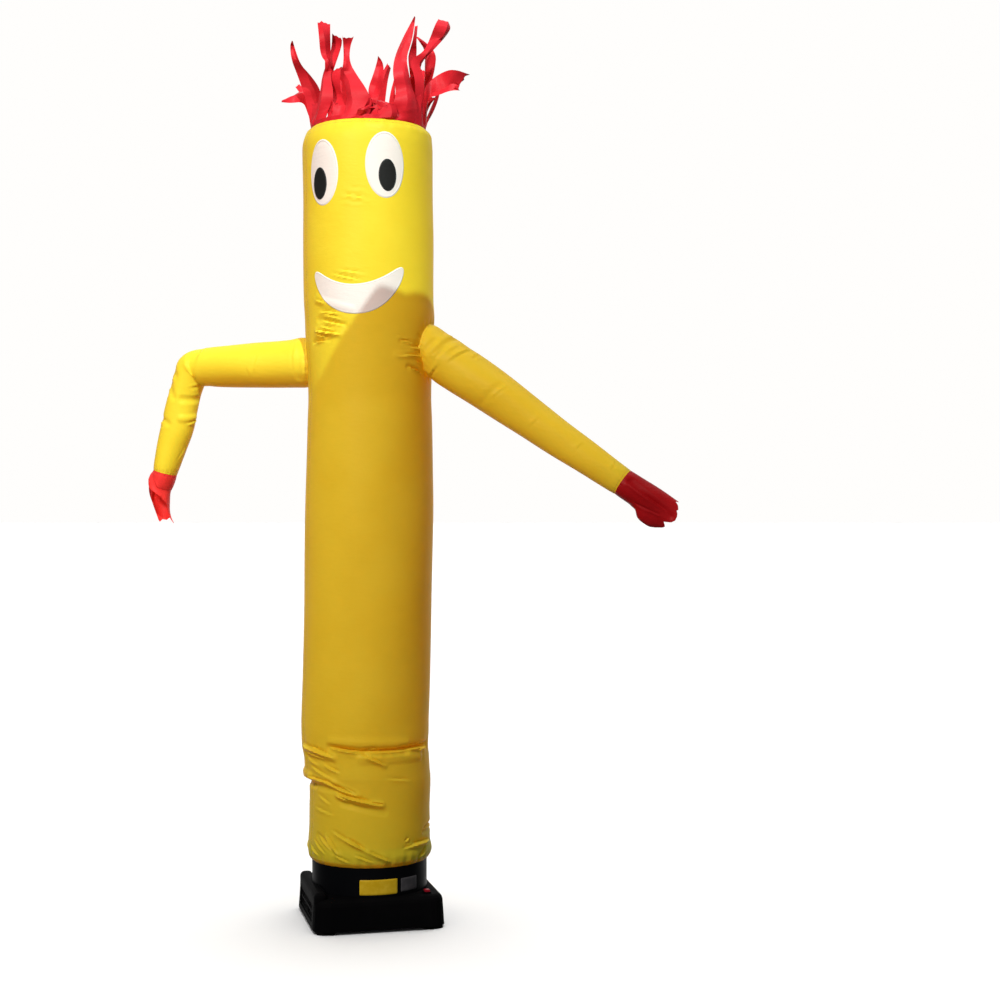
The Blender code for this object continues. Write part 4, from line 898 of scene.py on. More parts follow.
def make_hand(name, node, path, cut, cloth, wave_height):
    """A hand from its wrist seam to its cut end, where its flaps hang."""
    turn = path.side * np.arange(HAND_COLUMNS) * 360.0 / HAND_COLUMNS
    reach = np.interp(turn % 360.0, [row.round for row in cut], [row.reach for row in cut])
    share = np.linspace(0, 1, HAND_ROWS + 1)[:, None]
    along = path.wrist + 0.0004 + share * reach[None, :]
    along = np.minimum(along, path.keys[-1])
    grid_turn = np.broadcast_to(turn, along.shape)
    past = along - path.wrist
    wave = np.sin(np.radians(grid_turn) * 15) + 0.7 * np.sin(np.radians(grid_turn) * 26 + 1.0)
    lift = -CUFF_PULL * np.exp(-((past / 0.006) ** 2)) * (1 + 0.3 * wave)
    lift = lift + wave_height * np.clip(past / 0.05, 0, 1) * np.sin(np.radians(grid_turn) * 4 + past * 50)
    points = path.points(along, grid_turn, lift)
    columns = np.arange(HAND_COLUMNS + 1) * math.tau * HAND_MEAN_RADIUS / HAND_COLUMNS
    lengths = np.concatenate((along, along[:, :1]), axis=1)
    places = np.stack((np.broadcast_to(columns, lengths.shape), lengths), axis=-1)
    hand = sheet_mesh(name, points, places, cloth, True)
    place_piece(hand, "red_nylon", node)

    closed = np.concatenate((turn, turn[:1] + path.side * 360.0))
    line = np.full(len(closed), path.wrist + 0.0035)
    outward = path.points(line, closed) - path.centre(line)
    seam = stitch_row(name + "_stitches", path.points(line, closed, -0.0005), outward, RED_THREAD)
    place_piece(seam, "red_nylon")


# Sewn face

PATCH_LIFT = 0.0009
PATCH_RINGS = 10
BORDER_WIDTH = 0.0030
BORDER_RISE = 0.0004
PATCH_EDGE_LIFT = 0.0002

# Across a border, from outside in: places in border widths, its roundness, and where it lies on the patch
BORDER_PLACES = np.array((-0.25, -0.15, 0.2, 0.6, 0.9, 1.0))
BORDER_ROUND = np.array((0.0, 0.8, 1.0, 1.0, 0.8, 0.0))
BORDER_ON_PATCH = np.array((0.0, 0, 0, 1, 1, 1))
EYE_SIDES = 140
PUPIL_SIDES = 100

MOUTH_COLUMNS = 140
MOUTH_ROWS = 20
MOUTH_EDGE_LIFT = 0.0005
MOUTH_BORDER_STEPS = 260
MOUTH_BORDER = ((-0.25, 0.0), (-0.15, 0.0004), (0.3, 0.0011), (0.7, 0.0012), (1.0, 0.0008))


def face_spot(side_degrees, height, tilt=FACE_TILT):
    """Azimuth and height of a place on the turned and tilted face."""
    return FACE_AZIMUTH + side_degrees, height + tilt * side_degrees / EYE_SPREAD


def make_patch(name, node, slot, cloth, thread, outline, centre, lift):
    """A patch of cloth inside an outline of azimuths and heights, with a satin-stitched border."""
    azimuths, heights = outline
    share = np.linspace(0, 1, PATCH_RINGS + 1)[:, None]
    grid_azimuth = centre[0] + (azimuths - centre[0])[None, :] * share
    grid_height = centre[1] + (heights - centre[1])[None, :] * share
    drop = np.where(share > 0.999, -lift + PATCH_EDGE_LIFT, 0.0)
    points = cloth_wall(grid_azimuth, grid_height, lift + drop)
    places = np.stack((arc(grid_azimuth), grid_height), axis=-1)
    places = np.concatenate((places, places[:, :1]), axis=1)
    patch = sheet_mesh(name, points[::-1], places[::-1], cloth, True)
    place_piece(patch, slot, node)

    toward = np.stack((arc(centre[0] - azimuths), centre[1] - heights), axis=-1)
    way = np.roll(np.stack((arc(azimuths), heights), axis=-1), -1, axis=0)
    way -= np.roll(np.stack((arc(azimuths), heights), axis=-1), 1, axis=0)
    inward = np.stack((-way[:, 1], way[:, 0]), axis=-1)
    inward *= np.sign((inward * toward).sum(axis=1, keepdims=True))
    inward /= np.linalg.norm(inward, axis=1, keepdims=True)
    rise = BORDER_ROUND * BORDER_RISE + BORDER_ON_PATCH * lift * 0.9
    span = BORDER_PLACES[:, None] * BORDER_WIDTH
    border_azimuth = azimuths[None, :] + np.degrees(inward[:, 0][None, :] * span / TUBE_MEAN_RADIUS)
    border_height = heights[None, :] + inward[:, 1][None, :] * span
    border_points = cloth_wall(border_azimuth, border_height, rise[:, None])
    border_places = np.stack((arc(border_azimuth), border_height), axis=-1)
    border_places = np.concatenate((border_places, border_places[:, :1]), axis=1)
    border = sheet_mesh(name + "_border", border_points, border_places, thread, True)
    place_piece(border, slot)


def oval_outline(side_degrees, height, half_width, half_height, sides):
    azimuth, middle = face_spot(side_degrees, height)
    turn = np.arange(sides) * math.tau / sides
    width_degrees = math.degrees(half_width / FACE_RADIUS)
    return azimuth + width_degrees * np.cos(turn), middle + half_height * np.sin(turn)


def make_eye(side, name):
    """A white oval and the black one on it."""
    turn = side * EYE_SPREAD + (LEFT_EYE_SHIFT if side < 0 else 0)
    half_width = LEFT_EYE_HALF_WIDTH if side < 0 else EYE_HALF_WIDTH
    white = oval_outline(turn, EYE_HEIGHT, half_width, EYE_HALF_HEIGHT, EYE_SIDES)
    make_patch(
        "eye_cloth_" + name, "eye_white_" + name, "white_nylon", WHITE_CLOTH, WHITE_THREAD, white,
        face_spot(turn, EYE_HEIGHT), PATCH_LIFT,
    )
    middle = EYE_HEIGHT - PUPIL_DROP
    turn = side * PUPIL_SPREAD + PUPIL_SHIFT
    black = oval_outline(turn, middle, PUPIL_HALF_WIDTH, PUPIL_HALF_HEIGHT, PUPIL_SIDES)
    make_patch(
        "pupil_cloth_" + name, "pupil_" + name, "black_nylon", BLACK_CLOTH, BLACK_THREAD, black,
        face_spot(turn, middle), 2 * PATCH_LIFT,
    )


def make_mouth():
    """The smile: a crescent sheet with a satin-stitched border all round."""
    across = np.linspace(-1, 1, MOUTH_COLUMNS + 1)
    spread = np.sin(across * math.pi / 2)
    low, high = mouth_edges(spread)
    half = 0.5 * (high - low) * np.sqrt(np.maximum(1 - spread**12, 0.0))
    middle = 0.5 * (low + high)
    share = np.linspace(-1, 1, MOUTH_ROWS + 1)[:, None]
    azimuth, height = face_spot(MOUTH_HALF_SPAN * spread + MOUTH_SHIFT, middle + half * share, MOUTH_TILT)
    azimuth = np.broadcast_to(azimuth, height.shape)
    lift = np.where(np.abs(share) > 0.999, MOUTH_EDGE_LIFT, PATCH_LIFT)
    points = cloth_wall(azimuth, height, lift)
    places = np.stack((arc(azimuth), height), axis=-1)
    mouth = sheet_mesh("mouth_cloth", points, places, WHITE_CLOTH)
    place_piece(mouth, "white_nylon", "mouth")

    rim_azimuth = np.concatenate((azimuth[0], azimuth[-1][-2:0:-1]))
    rim_height = np.concatenate((height[0], height[-1][-2:0:-1]))
    line = np.stack((arc(rim_azimuth), rim_height), axis=-1)
    line = np.concatenate((line, line[:1]))
    keys = np.concatenate(((0.0,), np.cumsum(np.linalg.norm(np.diff(line, axis=0), axis=1))))
    even = np.linspace(0, keys[-1], MOUTH_BORDER_STEPS + 1)[:-1]
    rim = np.stack([np.interp(even, keys, line[:, k]) for k in range(2)], axis=-1)
    way = np.roll(rim, -2, axis=0) - np.roll(rim, 2, axis=0)
    way /= np.linalg.norm(way, axis=1, keepdims=True)
    inward = np.stack((-way[:, 1], way[:, 0]), axis=-1)
    border, flat = [], []
    for ring, lift in MOUTH_BORDER:
        spot = rim + inward * ring * BORDER_WIDTH
        border.append(cloth_wall(np.degrees(spot[:, 0] / TUBE_MEAN_RADIUS), spot[:, 1], lift))
        flat.append(np.concatenate((spot, spot[:1])))
    edge = sheet_mesh("mouth_cloth_border", np.stack(border), np.stack(flat), WHITE_THREAD, True)
    place_piece(edge, "white_nylon")


# Hair

BAND_RADIUS = TUBE_TOP.radius - 0.00075
BAND_BOTTOM = TUBE_TOP.height + 0.0005
RIBBON_COLUMNS = 6
RIBBON_BOW = 0.26
RIBBON_SWAY = 11
HAIR_SHARP_ANGLE = math.radians(27)
BAND_COLUMNS = 180

# A ribbon of the front runs from its root through its rows of edge places, in millimetres: across from the
# tube's axis and up from its rim, both as they look against the upright plane through the axis, and each
# edge's depth.
Knot = namedtuple("Knot", "left_across left_up right_across right_up left_depth right_depth")
Strip = namedtuple("Strip", "azimuth root_width notch knots")
STRIPS = table(Strip, (
    (-80, 0.030, 0.0, (
        (-128, 54, -98, 66, -6, -34), (-136, 81, -102, 86, -4, -36), (-147, 112, -121, 112, -10, -40),
        (-159, 142, -141, 133, -22, -40), (-162, 171, -153, 169, -34, -30),
        (-158, 181, -156, 180, -38, -34),
    )),
    (-97, 0.022, 0.0, (
        (-127, 38, -116, 55, 14, 20), (-135, 57, -136, 82, 2, 26), (-160, 54, -155, 69, 2, 18),
        (-179, 56, -178, 60, 8, 10),
    )),
    (-62, 0.030, 0.15, (
        (-108, 40, -77, 43, -52, -62), (-100, 80, -73, 73, -46, -66), (-97, 107, -79, 107, -52, -58),
        (-87, 136, -80, 142, -60, -50), (-100, 151, -79, 157, -66, -46), (-103, 190, -80, 195, -60, -50),
        (-106, 218, -80, 215, -56, -54),
    )),
    (-50, 0.024, 0.1, (
        (-92, 60, -72, 76, -50, -64), (-88, 118, -75, 116, -50, -40), (-85, 138, -70, 131, -36, -46),
        (-77, 168, -57, 169, -30, -52), (-76, 196, -56, 182, -28, -44),
    )),
    (-12, 0.044, 0.2, (
        (-46, 52, 8, 46, -88, -104), (-48, 90, -4, 80, -76, -106), (-60, 116, -25, 110, -70, -92),
        (-53, 132, -41, 137, -84, -72), (-53, 169, -40, 168, -70, -84), (-56, 192, -32, 190, -66, -84),
    )),
    (-38, 0.036, 0.2, (
        (-73, 42, -29, 44, -72, -60), (-77, 70, -36, 70, -44, -66), (-82, 104, -44, 99, -40, -56),
        (-76, 121, -49, 126, -52, -40),
    )),
    (4, 0.032, 0.0, (
        (-20, 32, 17, 40, -104, -108), (0, 64, 14, 62, -108, -98), (-4, 82, 23, 80, -92, -112),
        (9, 117, 28, 98, -88, -108), (16, 142, 29, 134, -92, -102), (17, 150, 19, 148, -96, -98),
    )),
    (30, 0.024, 0.0, (
        (30, 36, 53, 50, -96, -84), (24, 47, 28, 59, -108, -92), (5, 57, 2, 62, -104, -98),
    )),
    (42, 0.050, 0.0, (
        (36, 34, 97, 38, -88, -72), (50, 55, 94, 66, -92, -64), (54, 82, 86, 86, -96, -72),
        (46, 116, 81, 110, -90, -70), (51, 150, 74, 146, -56, -78), (69, 190, 85, 177, -52, -66),
        (83, 216, 91, 211, -54, -58), (91, 231, 93, 229, -54, -54),
    )),
    (60, 0.024, 0.0, (
        (82, 60, 99, 66, -42, -54), (83, 104, 100, 88, -26, -52), (78, 144, 93, 128, -34, -20),
        (80, 156, 96, 158, -40, -24), (89, 186, 95, 180, -38, -30), (92, 211, 98, 212, -36, -32),
    )),
    (68, 0.026, 0.1, (
        (88, 40, 107, 42, -52, -38), (95, 96, 111, 98, -58, -30), (79, 143, 100, 131, -66, -44),
        (108, 156, 128, 160, -52, -58), (121, 181, 152, 186, -58, -46), (133, 214, 164, 203, -60, -44),
        (140, 225, 164, 210, -58, -44),
    )),
    (88, 0.026, 0.0, (
        (103, 58, 119, 62, -8, 8), (112, 98, 127, 101, 10, -8), (112, 128, 133, 125, 14, -10),
        (113, 161, 136, 154, 8, 0), (100, 181, 118, 175, -4, 2), (94, 188, 98, 189, -6, -6),
    )),
    (80, 0.030, 0.5, (
        (106, 58, 114, 40, -22, -32), (118, 96, 121, 66, -8, -38), (145, 116, 137, 69, -14, -34),
        (170, 124, 164, 80, -26, -12), (204, 112, 184, 80, -18, -24),
    )),
    (108, 0.026, 0.2, (
        (104, 40, 118, 44, 40, 30), (106, 70, 136, 67, 46, 26),
    )),
    (-112, 0.026, 0.3, (
        (-124, 28, -108, 40, 36, 44), (-129, 52, -108, 58, 28, 46),
    )),
    (-34, 0.036, 0.3, (
        (-74, 30, -44, 32, -92, -102), (-74, 60, -46, 54, -98, -90),
    )),
    (-8, 0.030, 0.2, (
        (-26, 32, 2, 34, -114, -110), (-24, 46, 4, 56, -120, -104), (20, 44, 16, 58, -112, -104),
    )),
    (22, 0.034, 0.2, (
        (20, 30, 58, 34, -110, -100), (12, 40, 52, 54, -116, -98),
    )),
    (56, 0.030, 0.2, (
        (72, 32, 104, 36, -72, -58), (80, 62, 104, 72, -78, -56),
    )),
    (-72, 0.026, 0.2, (
        (-118, 30, -92, 40, -34, -48), (-116, 52, -88, 60, -42, -52),
    )),
))

# A ribbon of the back: side and rise of its knee and its tip from its root, lean, widths and twist
Ribbon = namedtuple(
    "Ribbon",
    "azimuth knee_side knee_rise tip_side tip_rise lean root_width knee_width tip_width knee_turn tip_turn",
)
BACK_RIBBONS = table(Ribbon, (
    (112, 0.022, 0.055, 0.033, 0.092, 0.01, 0.026, 0.026, 0.012, -30, -50),
    (134, 0.012, 0.095, 0.024, 0.15, 0.012, 0.03, 0.026, 0.012, 20, 60),
    (155, -0.008, 0.08, -0.004, 0.138, 0.016, 0.026, 0.024, 0.01, -20, -50),
    (178, 0.012, 0.105, 0.03, 0.165, 0.008, 0.03, 0.024, 0.014, 25, 60),
    (200, -0.01, 0.08, -0.03, 0.128, 0.014, 0.026, 0.022, 0.01, -25, -60),
    (222, -0.012, 0.1, -0.018, 0.168, 0.006, 0.03, 0.024, 0.016, 30, 70),
    (244, -0.02, 0.065, -0.05, 0.108, 0.01, 0.024, 0.022, 0.01, -30, -60),
))
BACK_NOTCH = 0.4


def corner_cut(places):
    """The same run of places with its corners cut twice, its ends kept."""
    for _ in range(2):
        near = 0.75 * places[:-1] + 0.25 * places[1:]
        far = 0.25 * places[:-1] + 0.75 * places[1:]
        between = np.stack((near, far), axis=1).reshape(-1, 3)
        places = np.concatenate((places[:1], between, places[-1:]))
    return places


def seen_place(across, up, depth):
    """A place as seen against the plane through the axis, moved along the line of sight to its depth."""
    eye = np.array(CAMERA_PLACE)
    flat = np.array((across / 1000, 0.0, TUBE_TOP.height + 0.002 + up / 1000))
    return eye + (flat - eye) * (depth / 1000 - eye[1]) / -eye[1]


def strip_sheet(index, left, right, notch):
    """The strip between two edges, a little bowed across and cut with a notch."""
    left, right = corner_cut(np.array(left)), corner_cut(np.array(right))
    across = right - left
    way = np.gradient(0.5 * (left + right), axis=0)
    way /= np.linalg.norm(way, axis=1, keepdims=True) + 1e-9
    facing = np.cross(across, way)
    share = np.linspace(0, 1, RIBBON_COLUMNS + 1)[None, :, None]
    fade = np.clip(np.linspace(0, 6, len(left)), 0, 1)[:, None, None]
    peak = 0.5 + 0.22 * math.sin(2.7 * index)
    bow = np.minimum(share / peak, (1 - share) / (1 - peak))
    fold_way = 1 if index % 3 else -0.8
    rise = facing[:, None] * bow * fade * RIBBON_BOW * fold_way
    points = left[:, None] + across[:, None] * share + rise
    teeth = np.array((0.0, 0.9, 0.2, 1.0, 0.35, 0.8, 0.0))[None, :, None]
    last = np.zeros((len(left), 1, 1))
    last[-2:, 0, 0] = (0.4, 1.0)
    width = np.linalg.norm(across[-1])
    points = points - way[:, None] * teeth * last * notch * width
    steps = np.linalg.norm(np.diff(0.5 * (left + right), axis=0), axis=1)
    lengths = np.concatenate(((0.0,), np.cumsum(steps)))
    widths = np.linspace(0, np.linalg.norm(across, axis=1).mean(), RIBBON_COLUMNS + 1)
    return sheet_mesh("hair_ribbon", points, np.stack(np.meshgrid(widths, lengths), axis=-1), RIBBON_CLOTH)


def root_edges(azimuth, width):
    """The two edges of a ribbon where it is sewn into the band."""
    turn = math.radians(azimuth)
    root = BAND_RADIUS * np.array((math.sin(turn), -math.cos(turn), 0.0))
    root += np.array((TUBE_TOP.centre_x, 0.0, BAND_BOTTOM))
    along_rim = np.array((math.cos(turn), math.sin(turn), 0.0)) * width / 2
    return root - along_rim, root + along_rim


def placed_ribbon(index, strip):
    """A ribbon of the front, through its knots."""
    left, right = ([edge] for edge in root_edges(strip.azimuth, strip.root_width))
    for step, knot in enumerate(table(Knot, strip.knots)):
        sway = RIBBON_SWAY * (-1) ** (step + index) * min(1, step)
        left.append(seen_place(knot.left_across, knot.left_up, knot.left_depth + sway))
        right.append(seen_place(knot.right_across, knot.right_up, knot.right_depth + 0.6 * sway))
    return strip_sheet(index, left, right, strip.notch)


def turned_ribbon(index, row):
    """A ribbon of the back, bent through its knee and turned about its own length as its solid is."""
    left, right = ([edge] for edge in root_edges(row.azimuth, row.root_width))
    middle = 0.5 * (left[0] + right[0])
    along_rim = (right[0] - left[0]) / row.root_width
    knee = middle + np.array((row.knee_side, 0.5 * row.lean, row.knee_rise))
    tip = middle + np.array((row.tip_side, 1.5 * row.lean, row.tip_rise))
    pull = 2 * knee - 0.5 * (middle + tip)
    for share in (0.25, 0.5, 0.75, 1.0):
        centre = (1 - share) ** 2 * middle + 2 * share * (1 - share) * pull + share**2 * tip
        way = 2 * (1 - share) * (pull - middle) + 2 * share * (tip - pull)
        way /= np.linalg.norm(way)
        twist = np.interp(share, (0, 0.5, 1), (0, row.knee_turn, row.tip_turn))
        width = np.interp(share, (0, 0.5, 1), (row.root_width, row.knee_width, row.tip_width))
        across = along_rim - way * along_rim.dot(way)
        across /= np.linalg.norm(across)
        turn = math.radians(twist)
        across = across * math.cos(turn) + np.cross(way, across) * math.sin(turn)
        left.append(centre - across * width / 2)
        right.append(centre + across * width / 2)
    return strip_sheet(index, left, right, BACK_NOTCH)


def make_hair():
    """All the ribbons and the narrow band that they are sewn into, as one piece."""
    azimuths = np.linspace(0, 360, BAND_COLUMNS + 1)[:-1]
    heights = np.array((0.0, 0.2, 0.5, 0.8, 1.0)) * BAND_HEIGHT
    grid_azimuth, grid_height = np.meshgrid(azimuths, heights)
    turn = np.radians(grid_azimuth)
    radius = BAND_RADIUS + 0.0007 * np.sin(37 * turn + 2 * np.sin(5 * turn)) * grid_height / BAND_HEIGHT
    band_height = BAND_BOTTOM - 0.004 + grid_height * 1.5
    band = np.stack((TUBE_TOP.centre_x + radius * np.sin(turn), -radius * np.cos(turn), band_height), axis=-1)
    columns = np.arange(BAND_COLUMNS + 1) * math.tau * BAND_RADIUS / BAND_COLUMNS
    places = np.stack(np.meshgrid(columns, heights), axis=-1)
    pieces = [sheet_mesh("hair_band", band, places, RIBBON_CLOTH, True)]
    pieces += [placed_ribbon(index, strip) for index, strip in enumerate(STRIPS)]
    pieces += [turned_ribbon(index, row) for index, row in enumerate(BACK_RIBBONS)]
    with bpy.context.temp_override(active_object=pieces[0], selected_editable_objects=pieces):
        bpy.ops.object.join()
    hair = pieces[0]
    hair.name = "hair_ribbons"
    hair.data.set_sharp_from_angle(angle=HAIR_SHARP_ANGLE)
    place_piece(hair, "red_nylon", "hair")


# Blower

COLLAR_RADIUS = 0.1160
COLLAR_WALL = 0.0030
COLLAR_SEAT = 0.063
COLLAR_TOP = 0.165
COLLAR_COLUMNS = 144
PLATE_PROUD = 0.0010
PLATE_ROUNDING = 0.0018
PLATE_COLUMNS = 40
PLATE_ROWS = 16
COLLAR_SHARP_ANGLE = math.radians(35)

# Each plate from one azimuth to the other, and from its bottom to its top
YELLOW_PLATE_AREA = (-5.5, 32.5, 0.0705, 0.1005)
GREY_PLATE_AREA = (36.5, 57.5, 0.0725, 0.0995)

NODE_FINISHES = {
    "housing": BLACK_PLASTIC,
    "intake_grille": BLACK_PLASTIC,
    "base_pan": BLACK_PLASTIC,
    "foot_1": BLACK_RUBBER,
    "foot_2": BLACK_RUBBER,
    "foot_3": BLACK_RUBBER,
    "foot_4": BLACK_RUBBER,
    "switch_bezel": BLACK_PLASTIC,
    "switch_rocker": RED_PLASTIC,
    "cord_gland": BLACK_RUBBER,
}


def make_collar():
    """The round outlet that the cloth goes over, with rolled edges and a moulded bead near its foot."""
    inner = COLLAR_RADIUS - COLLAR_WALL
    profile = (
        (inner, COLLAR_SEAT), (inner, COLLAR_TOP - 0.0012), (inner + 0.0006, COLLAR_TOP - 0.0002),
        (inner + 0.0015, COLLAR_TOP), (COLLAR_RADIUS - 0.0006, COLLAR_TOP - 0.0002),
        (COLLAR_RADIUS, COLLAR_TOP - 0.0012), (COLLAR_RADIUS, 0.118), (COLLAR_RADIUS, 0.0700),
        (COLLAR_RADIUS + 0.0002, 0.0686), (COLLAR_RADIUS + 0.0002, 0.0672), (COLLAR_RADIUS, 0.0660),
        (COLLAR_RADIUS, COLLAR_SEAT), (inner, COLLAR_SEAT),
    )
    turn = np.arange(COLLAR_COLUMNS) * math.tau / COLLAR_COLUMNS
    rows = [np.stack((r * np.sin(turn), -r * np.cos(turn), z + 0 * turn), axis=-1) for r, z in profile]
    columns = np.arange(COLLAR_COLUMNS + 1) * math.tau * COLLAR_RADIUS / COLLAR_COLUMNS
    places = np.stack(np.meshgrid(columns, [z for _, z in profile]), axis=-1)
    collar = sheet_mesh("collar_ring", np.stack(rows)[::-1], places[::-1], COLLAR_PLASTIC, True)
    collar.data.set_sharp_from_angle(angle=COLLAR_SHARP_ANGLE)
    place_piece(collar, "black_plastic", "collar")


def make_plate(name, node, slot, material, azimuth_1, azimuth_2, bottom, top):
    """A bare plate bent round the collar, its corners and edges a little rounded."""
    across, up = np.meshgrid(np.linspace(-1, 1, PLATE_COLUMNS + 1), np.linspace(-1, 1, PLATE_ROWS + 1))
    half_width = math.radians(azimuth_2 - azimuth_1) * COLLAR_RADIUS / 2
    half_height = (top - bottom) / 2
    edge = np.minimum((1 - np.abs(across)) * half_width, (1 - np.abs(up)) * half_height)
    proud = PLATE_PROUD * np.sqrt(np.clip(1 - (1 - np.clip(edge / PLATE_ROUNDING, 0, 1)) ** 2, 0, 1))
    pinch = 1 - 0.02 * np.abs(across * up) ** 12
    turn = np.radians(0.5 * (azimuth_1 + azimuth_2)) + across * pinch * half_width / COLLAR_RADIUS
    radius = COLLAR_RADIUS + 0.0001 + proud
    height = 0.5 * (bottom + top) + up * pinch * half_height
    points = np.stack((radius * np.sin(turn), -radius * np.cos(turn), height), axis=-1)
    places = np.stack((turn * COLLAR_RADIUS, height), axis=-1)
    plate = sheet_mesh(name, points, places, material)
    place_piece(plate, slot, node)


def finish_nodes():
    """Gives the blower's own solids their finishes."""
    for name, material in NODE_FINISHES.items():
        mesh = frame["nodes"][name].data
        mesh.materials.clear()
        mesh.materials.append(material)


# Floor, light and camera

CAMERA_LENS = 62.0
SENSOR = 36.0
KEY_AZIMUTH = 20.0
KEY_ELEVATION = 44.0
FLAG_DISTANCE = 3.0

# Where the edge of the flag's soft shadow falls on the cloth
ShadeEdge = namedtuple("ShadeEdge", "azimuth height")
SHADE_EDGE = table(ShadeEdge, (
    (75, 1.248), (38, 1.254), (24, 1.262), (16, 1.268), (10, 1.262), (4, 1.244), (-3, 1.222), (-8, 1.207),
    (-21, 1.166), (-34, 1.124), (-44, 1.094), (-58, 1.07), (-80, 1.06),
))
FLAG_FAR_X = 1.4
FLAG_NEAR_X = -0.150
FLAG_FAR_TOP = 1.290
FLAG_NEAR_TOP = 0.90
FLAG_LOW = -0.60

FLOOR_REACH = 60.0
FLOOR_STRENGTH = 2.35
FLOOR_COLOURS = (0.93, 0.93, 0.93), (0.95, 0.95, 0.95)
SKY_COLOUR = (1.0, 0.99, 0.975)
SKY_FRONT = 0.20
SKY_BEHIND = 1.0
SKY_SIDES = 0.42
SKY_TILT = 0.6
SKY_DEPTH_RAMP = (0.15, 0.75)
SKY_SIDE_RAMP = (0.30, 0.85)
KEY_STRENGTH = 3.0
KEY_COLOUR = (0.80, 1.0, 1.0)
KEY_SPREAD = math.radians(0.25)
FLOOR_LIGHT_SPREAD = math.radians(50)
KEY_TARGET = Vector((0.0, 0.0, 1.2))

# A square area light
Lamp = namedtuple("Lamp", "place target power colour size")
FILL_LAMP = Lamp((-1.2, -2.9, 2.7), (0, 0, 0.6), 94.0, (1.0, 0.83, 0.79), 0.45)
RIGHT_ARM_LAMP = Lamp((0.80, -0.2, 2.6), (0.45, 0, 0.9), 5.0, (0.93, 1.0, 0.92), 0.7)
LEFT_ARM_LAMP = Lamp((-1.6, -2.4, 1.2), (-0.45, 0, 0.95), 9.0, (1.0, 0.66, 0.70), 0.7)


def key_way():
    """The way toward the main light."""
    turn, rise = math.radians(KEY_AZIMUTH), math.radians(KEY_ELEVATION)
    return Vector((math.sin(turn) * math.cos(rise), -math.cos(turn) * math.cos(rise), math.sin(rise)))


def make_flag():
    """An unseen card between the main light and the figure that keeps the lower right in soft shade."""
    edge = [Vector(tube_points(row.azimuth, row.height)) for row in SHADE_EDGE]
    corners = [Vector((FLAG_FAR_X, -0.10, FLAG_FAR_TOP))] + edge
    corners += [Vector((FLAG_NEAR_X, 0.0, height)) for height in (FLAG_NEAR_TOP, FLAG_LOW)]
    corners.append(Vector((FLAG_FAR_X, 0.0, FLAG_LOW)))
    way = key_way()
    anchor = Vector((0.0, -0.13, 1.15))
    placed = [corner + way * (FLAG_DISTANCE - (corner - anchor).dot(way)) for corner in corners]
    mesh = bpy.data.meshes.new("flag")
    mesh.from_pydata([tuple(corner) for corner in placed], [], [tuple(range(len(placed)))])
    flag = finished_object("flag", mesh, BLACK_CLOTH)
    flag.visible_camera = False
    flag.visible_diffuse = False
    flag.visible_glossy = False
    flag.visible_transmission = False
    return flag


def make_light(name, kind, place, target, energy, colour, **settings):
    """A light at its place, turned toward its target."""
    light = bpy.data.lights.new(name, kind)
    light.energy = energy
    light.color = colour
    for setting, value in settings.items():
        setattr(light, setting, value)
    lamp = bpy.data.objects.new(name, light)
    lamp.location = place
    lamp.rotation_euler = (Vector(target) - Vector(place)).to_track_quat("-Z", "Y").to_euler()
    bpy.context.scene.collection.objects.link(lamp)
    return lamp


def make_lamp(name, lamp, reached):
    """An area light that reaches only the things of one collection."""
    made = make_light(name, "AREA", lamp.place, lamp.target, lamp.power, lamp.colour, size=lamp.size)
    made.light_linking.receiver_collection = reached


def link_light(name, thing, state):
    """A collection that has a light reach, or pass by, one thing of the studio."""
    group = bpy.data.collections.new(name)
    group.objects.link(thing)
    group.collection_objects[0].light_linking.link_state = state
    return group


def link_pieces(name, starts):
    """A collection that has a light reach only the pieces whose names start so."""
    group = bpy.data.collections.new(name)
    for piece in bpy.context.scene.objects:
        if piece.name.startswith(starts):
            group.objects.link(piece)
    return group


def make_floor():
    """White paper that the part stands on."""
    mesh = bpy.data.meshes.new("floor")
    corners = [(-FLOOR_REACH, -FLOOR_REACH, 0), (FLOOR_REACH, -FLOOR_REACH, 0)]
    corners += [(FLOOR_REACH, FLOOR_REACH, 0), (-FLOOR_REACH, FLOOR_REACH, 0)]
    mesh.from_pydata(corners, [], [(0, 1, 2, 3)])
    paper = Finish("floor_paper", {"Roughness": 0.9, "Specular IOR Level": 0.1})
    paper.set("Base Color", paper.blend(paper.noise(3.0, 3.0), *(shade(*colour) for colour in FLOOR_COLOURS)))
    floor = finished_object("floor", mesh, paper.material)
    floor.visible_diffuse = False
    floor.visible_glossy = False
    return floor


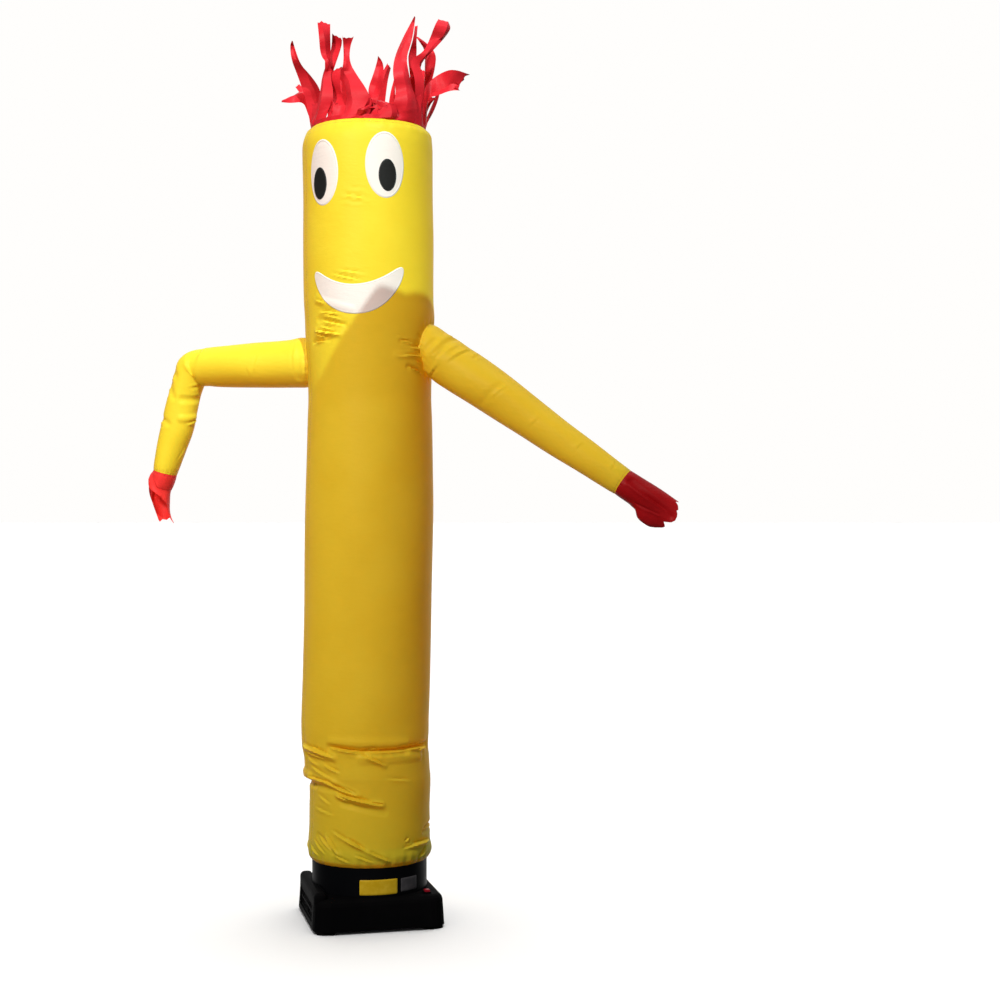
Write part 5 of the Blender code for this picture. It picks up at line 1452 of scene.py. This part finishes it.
def make_sky():
    """Pale all round, and brighter behind the figure."""
    world = bpy.data.worlds.new("studio")
    bpy.context.scene.world = world
    world.use_nodes = True
    nodes, links = world.node_tree.nodes, world.node_tree.links
    background = nodes["Background"]
    background.inputs["Color"].default_value = shade(*SKY_COLOUR)
    way = nodes.new("ShaderNodeTexCoord")
    parts = nodes.new("ShaderNodeSeparateXYZ")
    rise = nodes.new("ShaderNodeMath")
    rise.operation = "MULTIPLY_ADD"
    rise.inputs[1].default_value = SKY_TILT
    across = nodes.new("ShaderNodeMath")
    across.operation = "ABSOLUTE"
    side = nodes.new("ShaderNodeMapRange")
    grade = nodes.new("ShaderNodeMapRange")
    product = nodes.new("ShaderNodeMath")
    product.operation = "MULTIPLY"
    ramps = (grade, (*SKY_DEPTH_RAMP, SKY_FRONT, SKY_BEHIND)), (side, (*SKY_SIDE_RAMP, 1.0, SKY_SIDES))
    for ramp, ends in ramps:
        ramp.interpolation_type = "SMOOTHSTEP"
        for socket, value in zip(("From Min", "From Max", "To Min", "To Max"), ends):
            ramp.inputs[socket].default_value = value
    links.new(way.outputs["Generated"], parts.inputs[0])
    links.new(parts.outputs["Z"], rise.inputs[0])
    links.new(parts.outputs["Y"], rise.inputs[2])
    links.new(rise.outputs[0], grade.inputs["Value"])
    links.new(parts.outputs["X"], across.inputs[0])
    links.new(across.outputs[0], side.inputs["Value"])
    links.new(grade.outputs[0], product.inputs[0])
    links.new(side.outputs[0], product.inputs[1])
    links.new(product.outputs[0], background.inputs["Strength"])


def make_studio():
    """The floor, the sky, and the lights with what each of them reaches."""
    floor = make_floor()
    make_sky()
    flag = make_flag()
    place = KEY_TARGET + key_way() * 5
    key = make_light("key", "SUN", place, KEY_TARGET, KEY_STRENGTH, KEY_COLOUR, angle=KEY_SPREAD)
    past_floor = link_light("passes_floor", floor, "EXCLUDE")
    key.light_linking.receiver_collection = past_floor
    make_lamp("fill", FILL_LAMP, past_floor)
    right_arm = link_pieces("right_arm", ("sleeve_right", "hand_cloth_right"))
    make_lamp("right_arm_light", RIGHT_ARM_LAMP, right_arm)
    left_arm = link_pieces("left_arm", ("sleeve_left", "hand_cloth_left"))
    make_lamp("left_arm_light", LEFT_ARM_LAMP, left_arm)
    place, spread = (0, 0, 5), FLOOR_LIGHT_SPREAD
    down = make_light("floor_light", "SUN", place, (0, 0, 0), FLOOR_STRENGTH, (1, 1, 1), angle=spread)
    down.light_linking.receiver_collection = link_light("floor_light_reaches", floor, "INCLUDE")
    down.light_linking.blocker_collection = link_light("floor_light_passes", flag, "EXCLUDE")


def make_camera():
    camera = bpy.data.cameras.new("camera")
    camera.lens = CAMERA_LENS
    camera.sensor_width = SENSOR
    holder = bpy.data.objects.new("camera", camera)
    holder.location = CAMERA_PLACE
    holder.rotation_euler = (math.radians(90), 0, 0)
    bpy.context.scene.collection.objects.link(holder)
    bpy.context.scene.camera = holder
    bpy.context.scene.view_settings.view_transform = "Standard"


make_tube()
make_tube_seams()
make_sleeve("sleeve_left", "arm_left", LEFT_PATH)
make_sleeve("sleeve_right", "arm_right", RIGHT_PATH)
make_hand("hand_cloth_left", "hand_left", LEFT_PATH, LEFT_HAND_CUT, RED_CLOTH, 0.0008)
# The right hand wears the painted-shade red, darker than the left hand's red nylon.
make_hand("hand_cloth_right", "hand_right", RIGHT_PATH, RIGHT_HAND_CUT, PAINTED_SHADE_RED_CLOTH, 0.0002)
for eye_side, eye_name in ((-1, "left"), (1, "right")):
    make_eye(eye_side, eye_name)
make_mouth()
make_hair()
make_collar()
make_plate("label_plate_yellow", "plate_yellow", "yellow_plate", YELLOW_PLATE, *YELLOW_PLATE_AREA)
make_plate("label_plate_grey", "plate_grey", "grey_plate", GREY_PLATE, *GREY_PLATE_AREA)
finish_nodes()
make_studio()
make_camera()
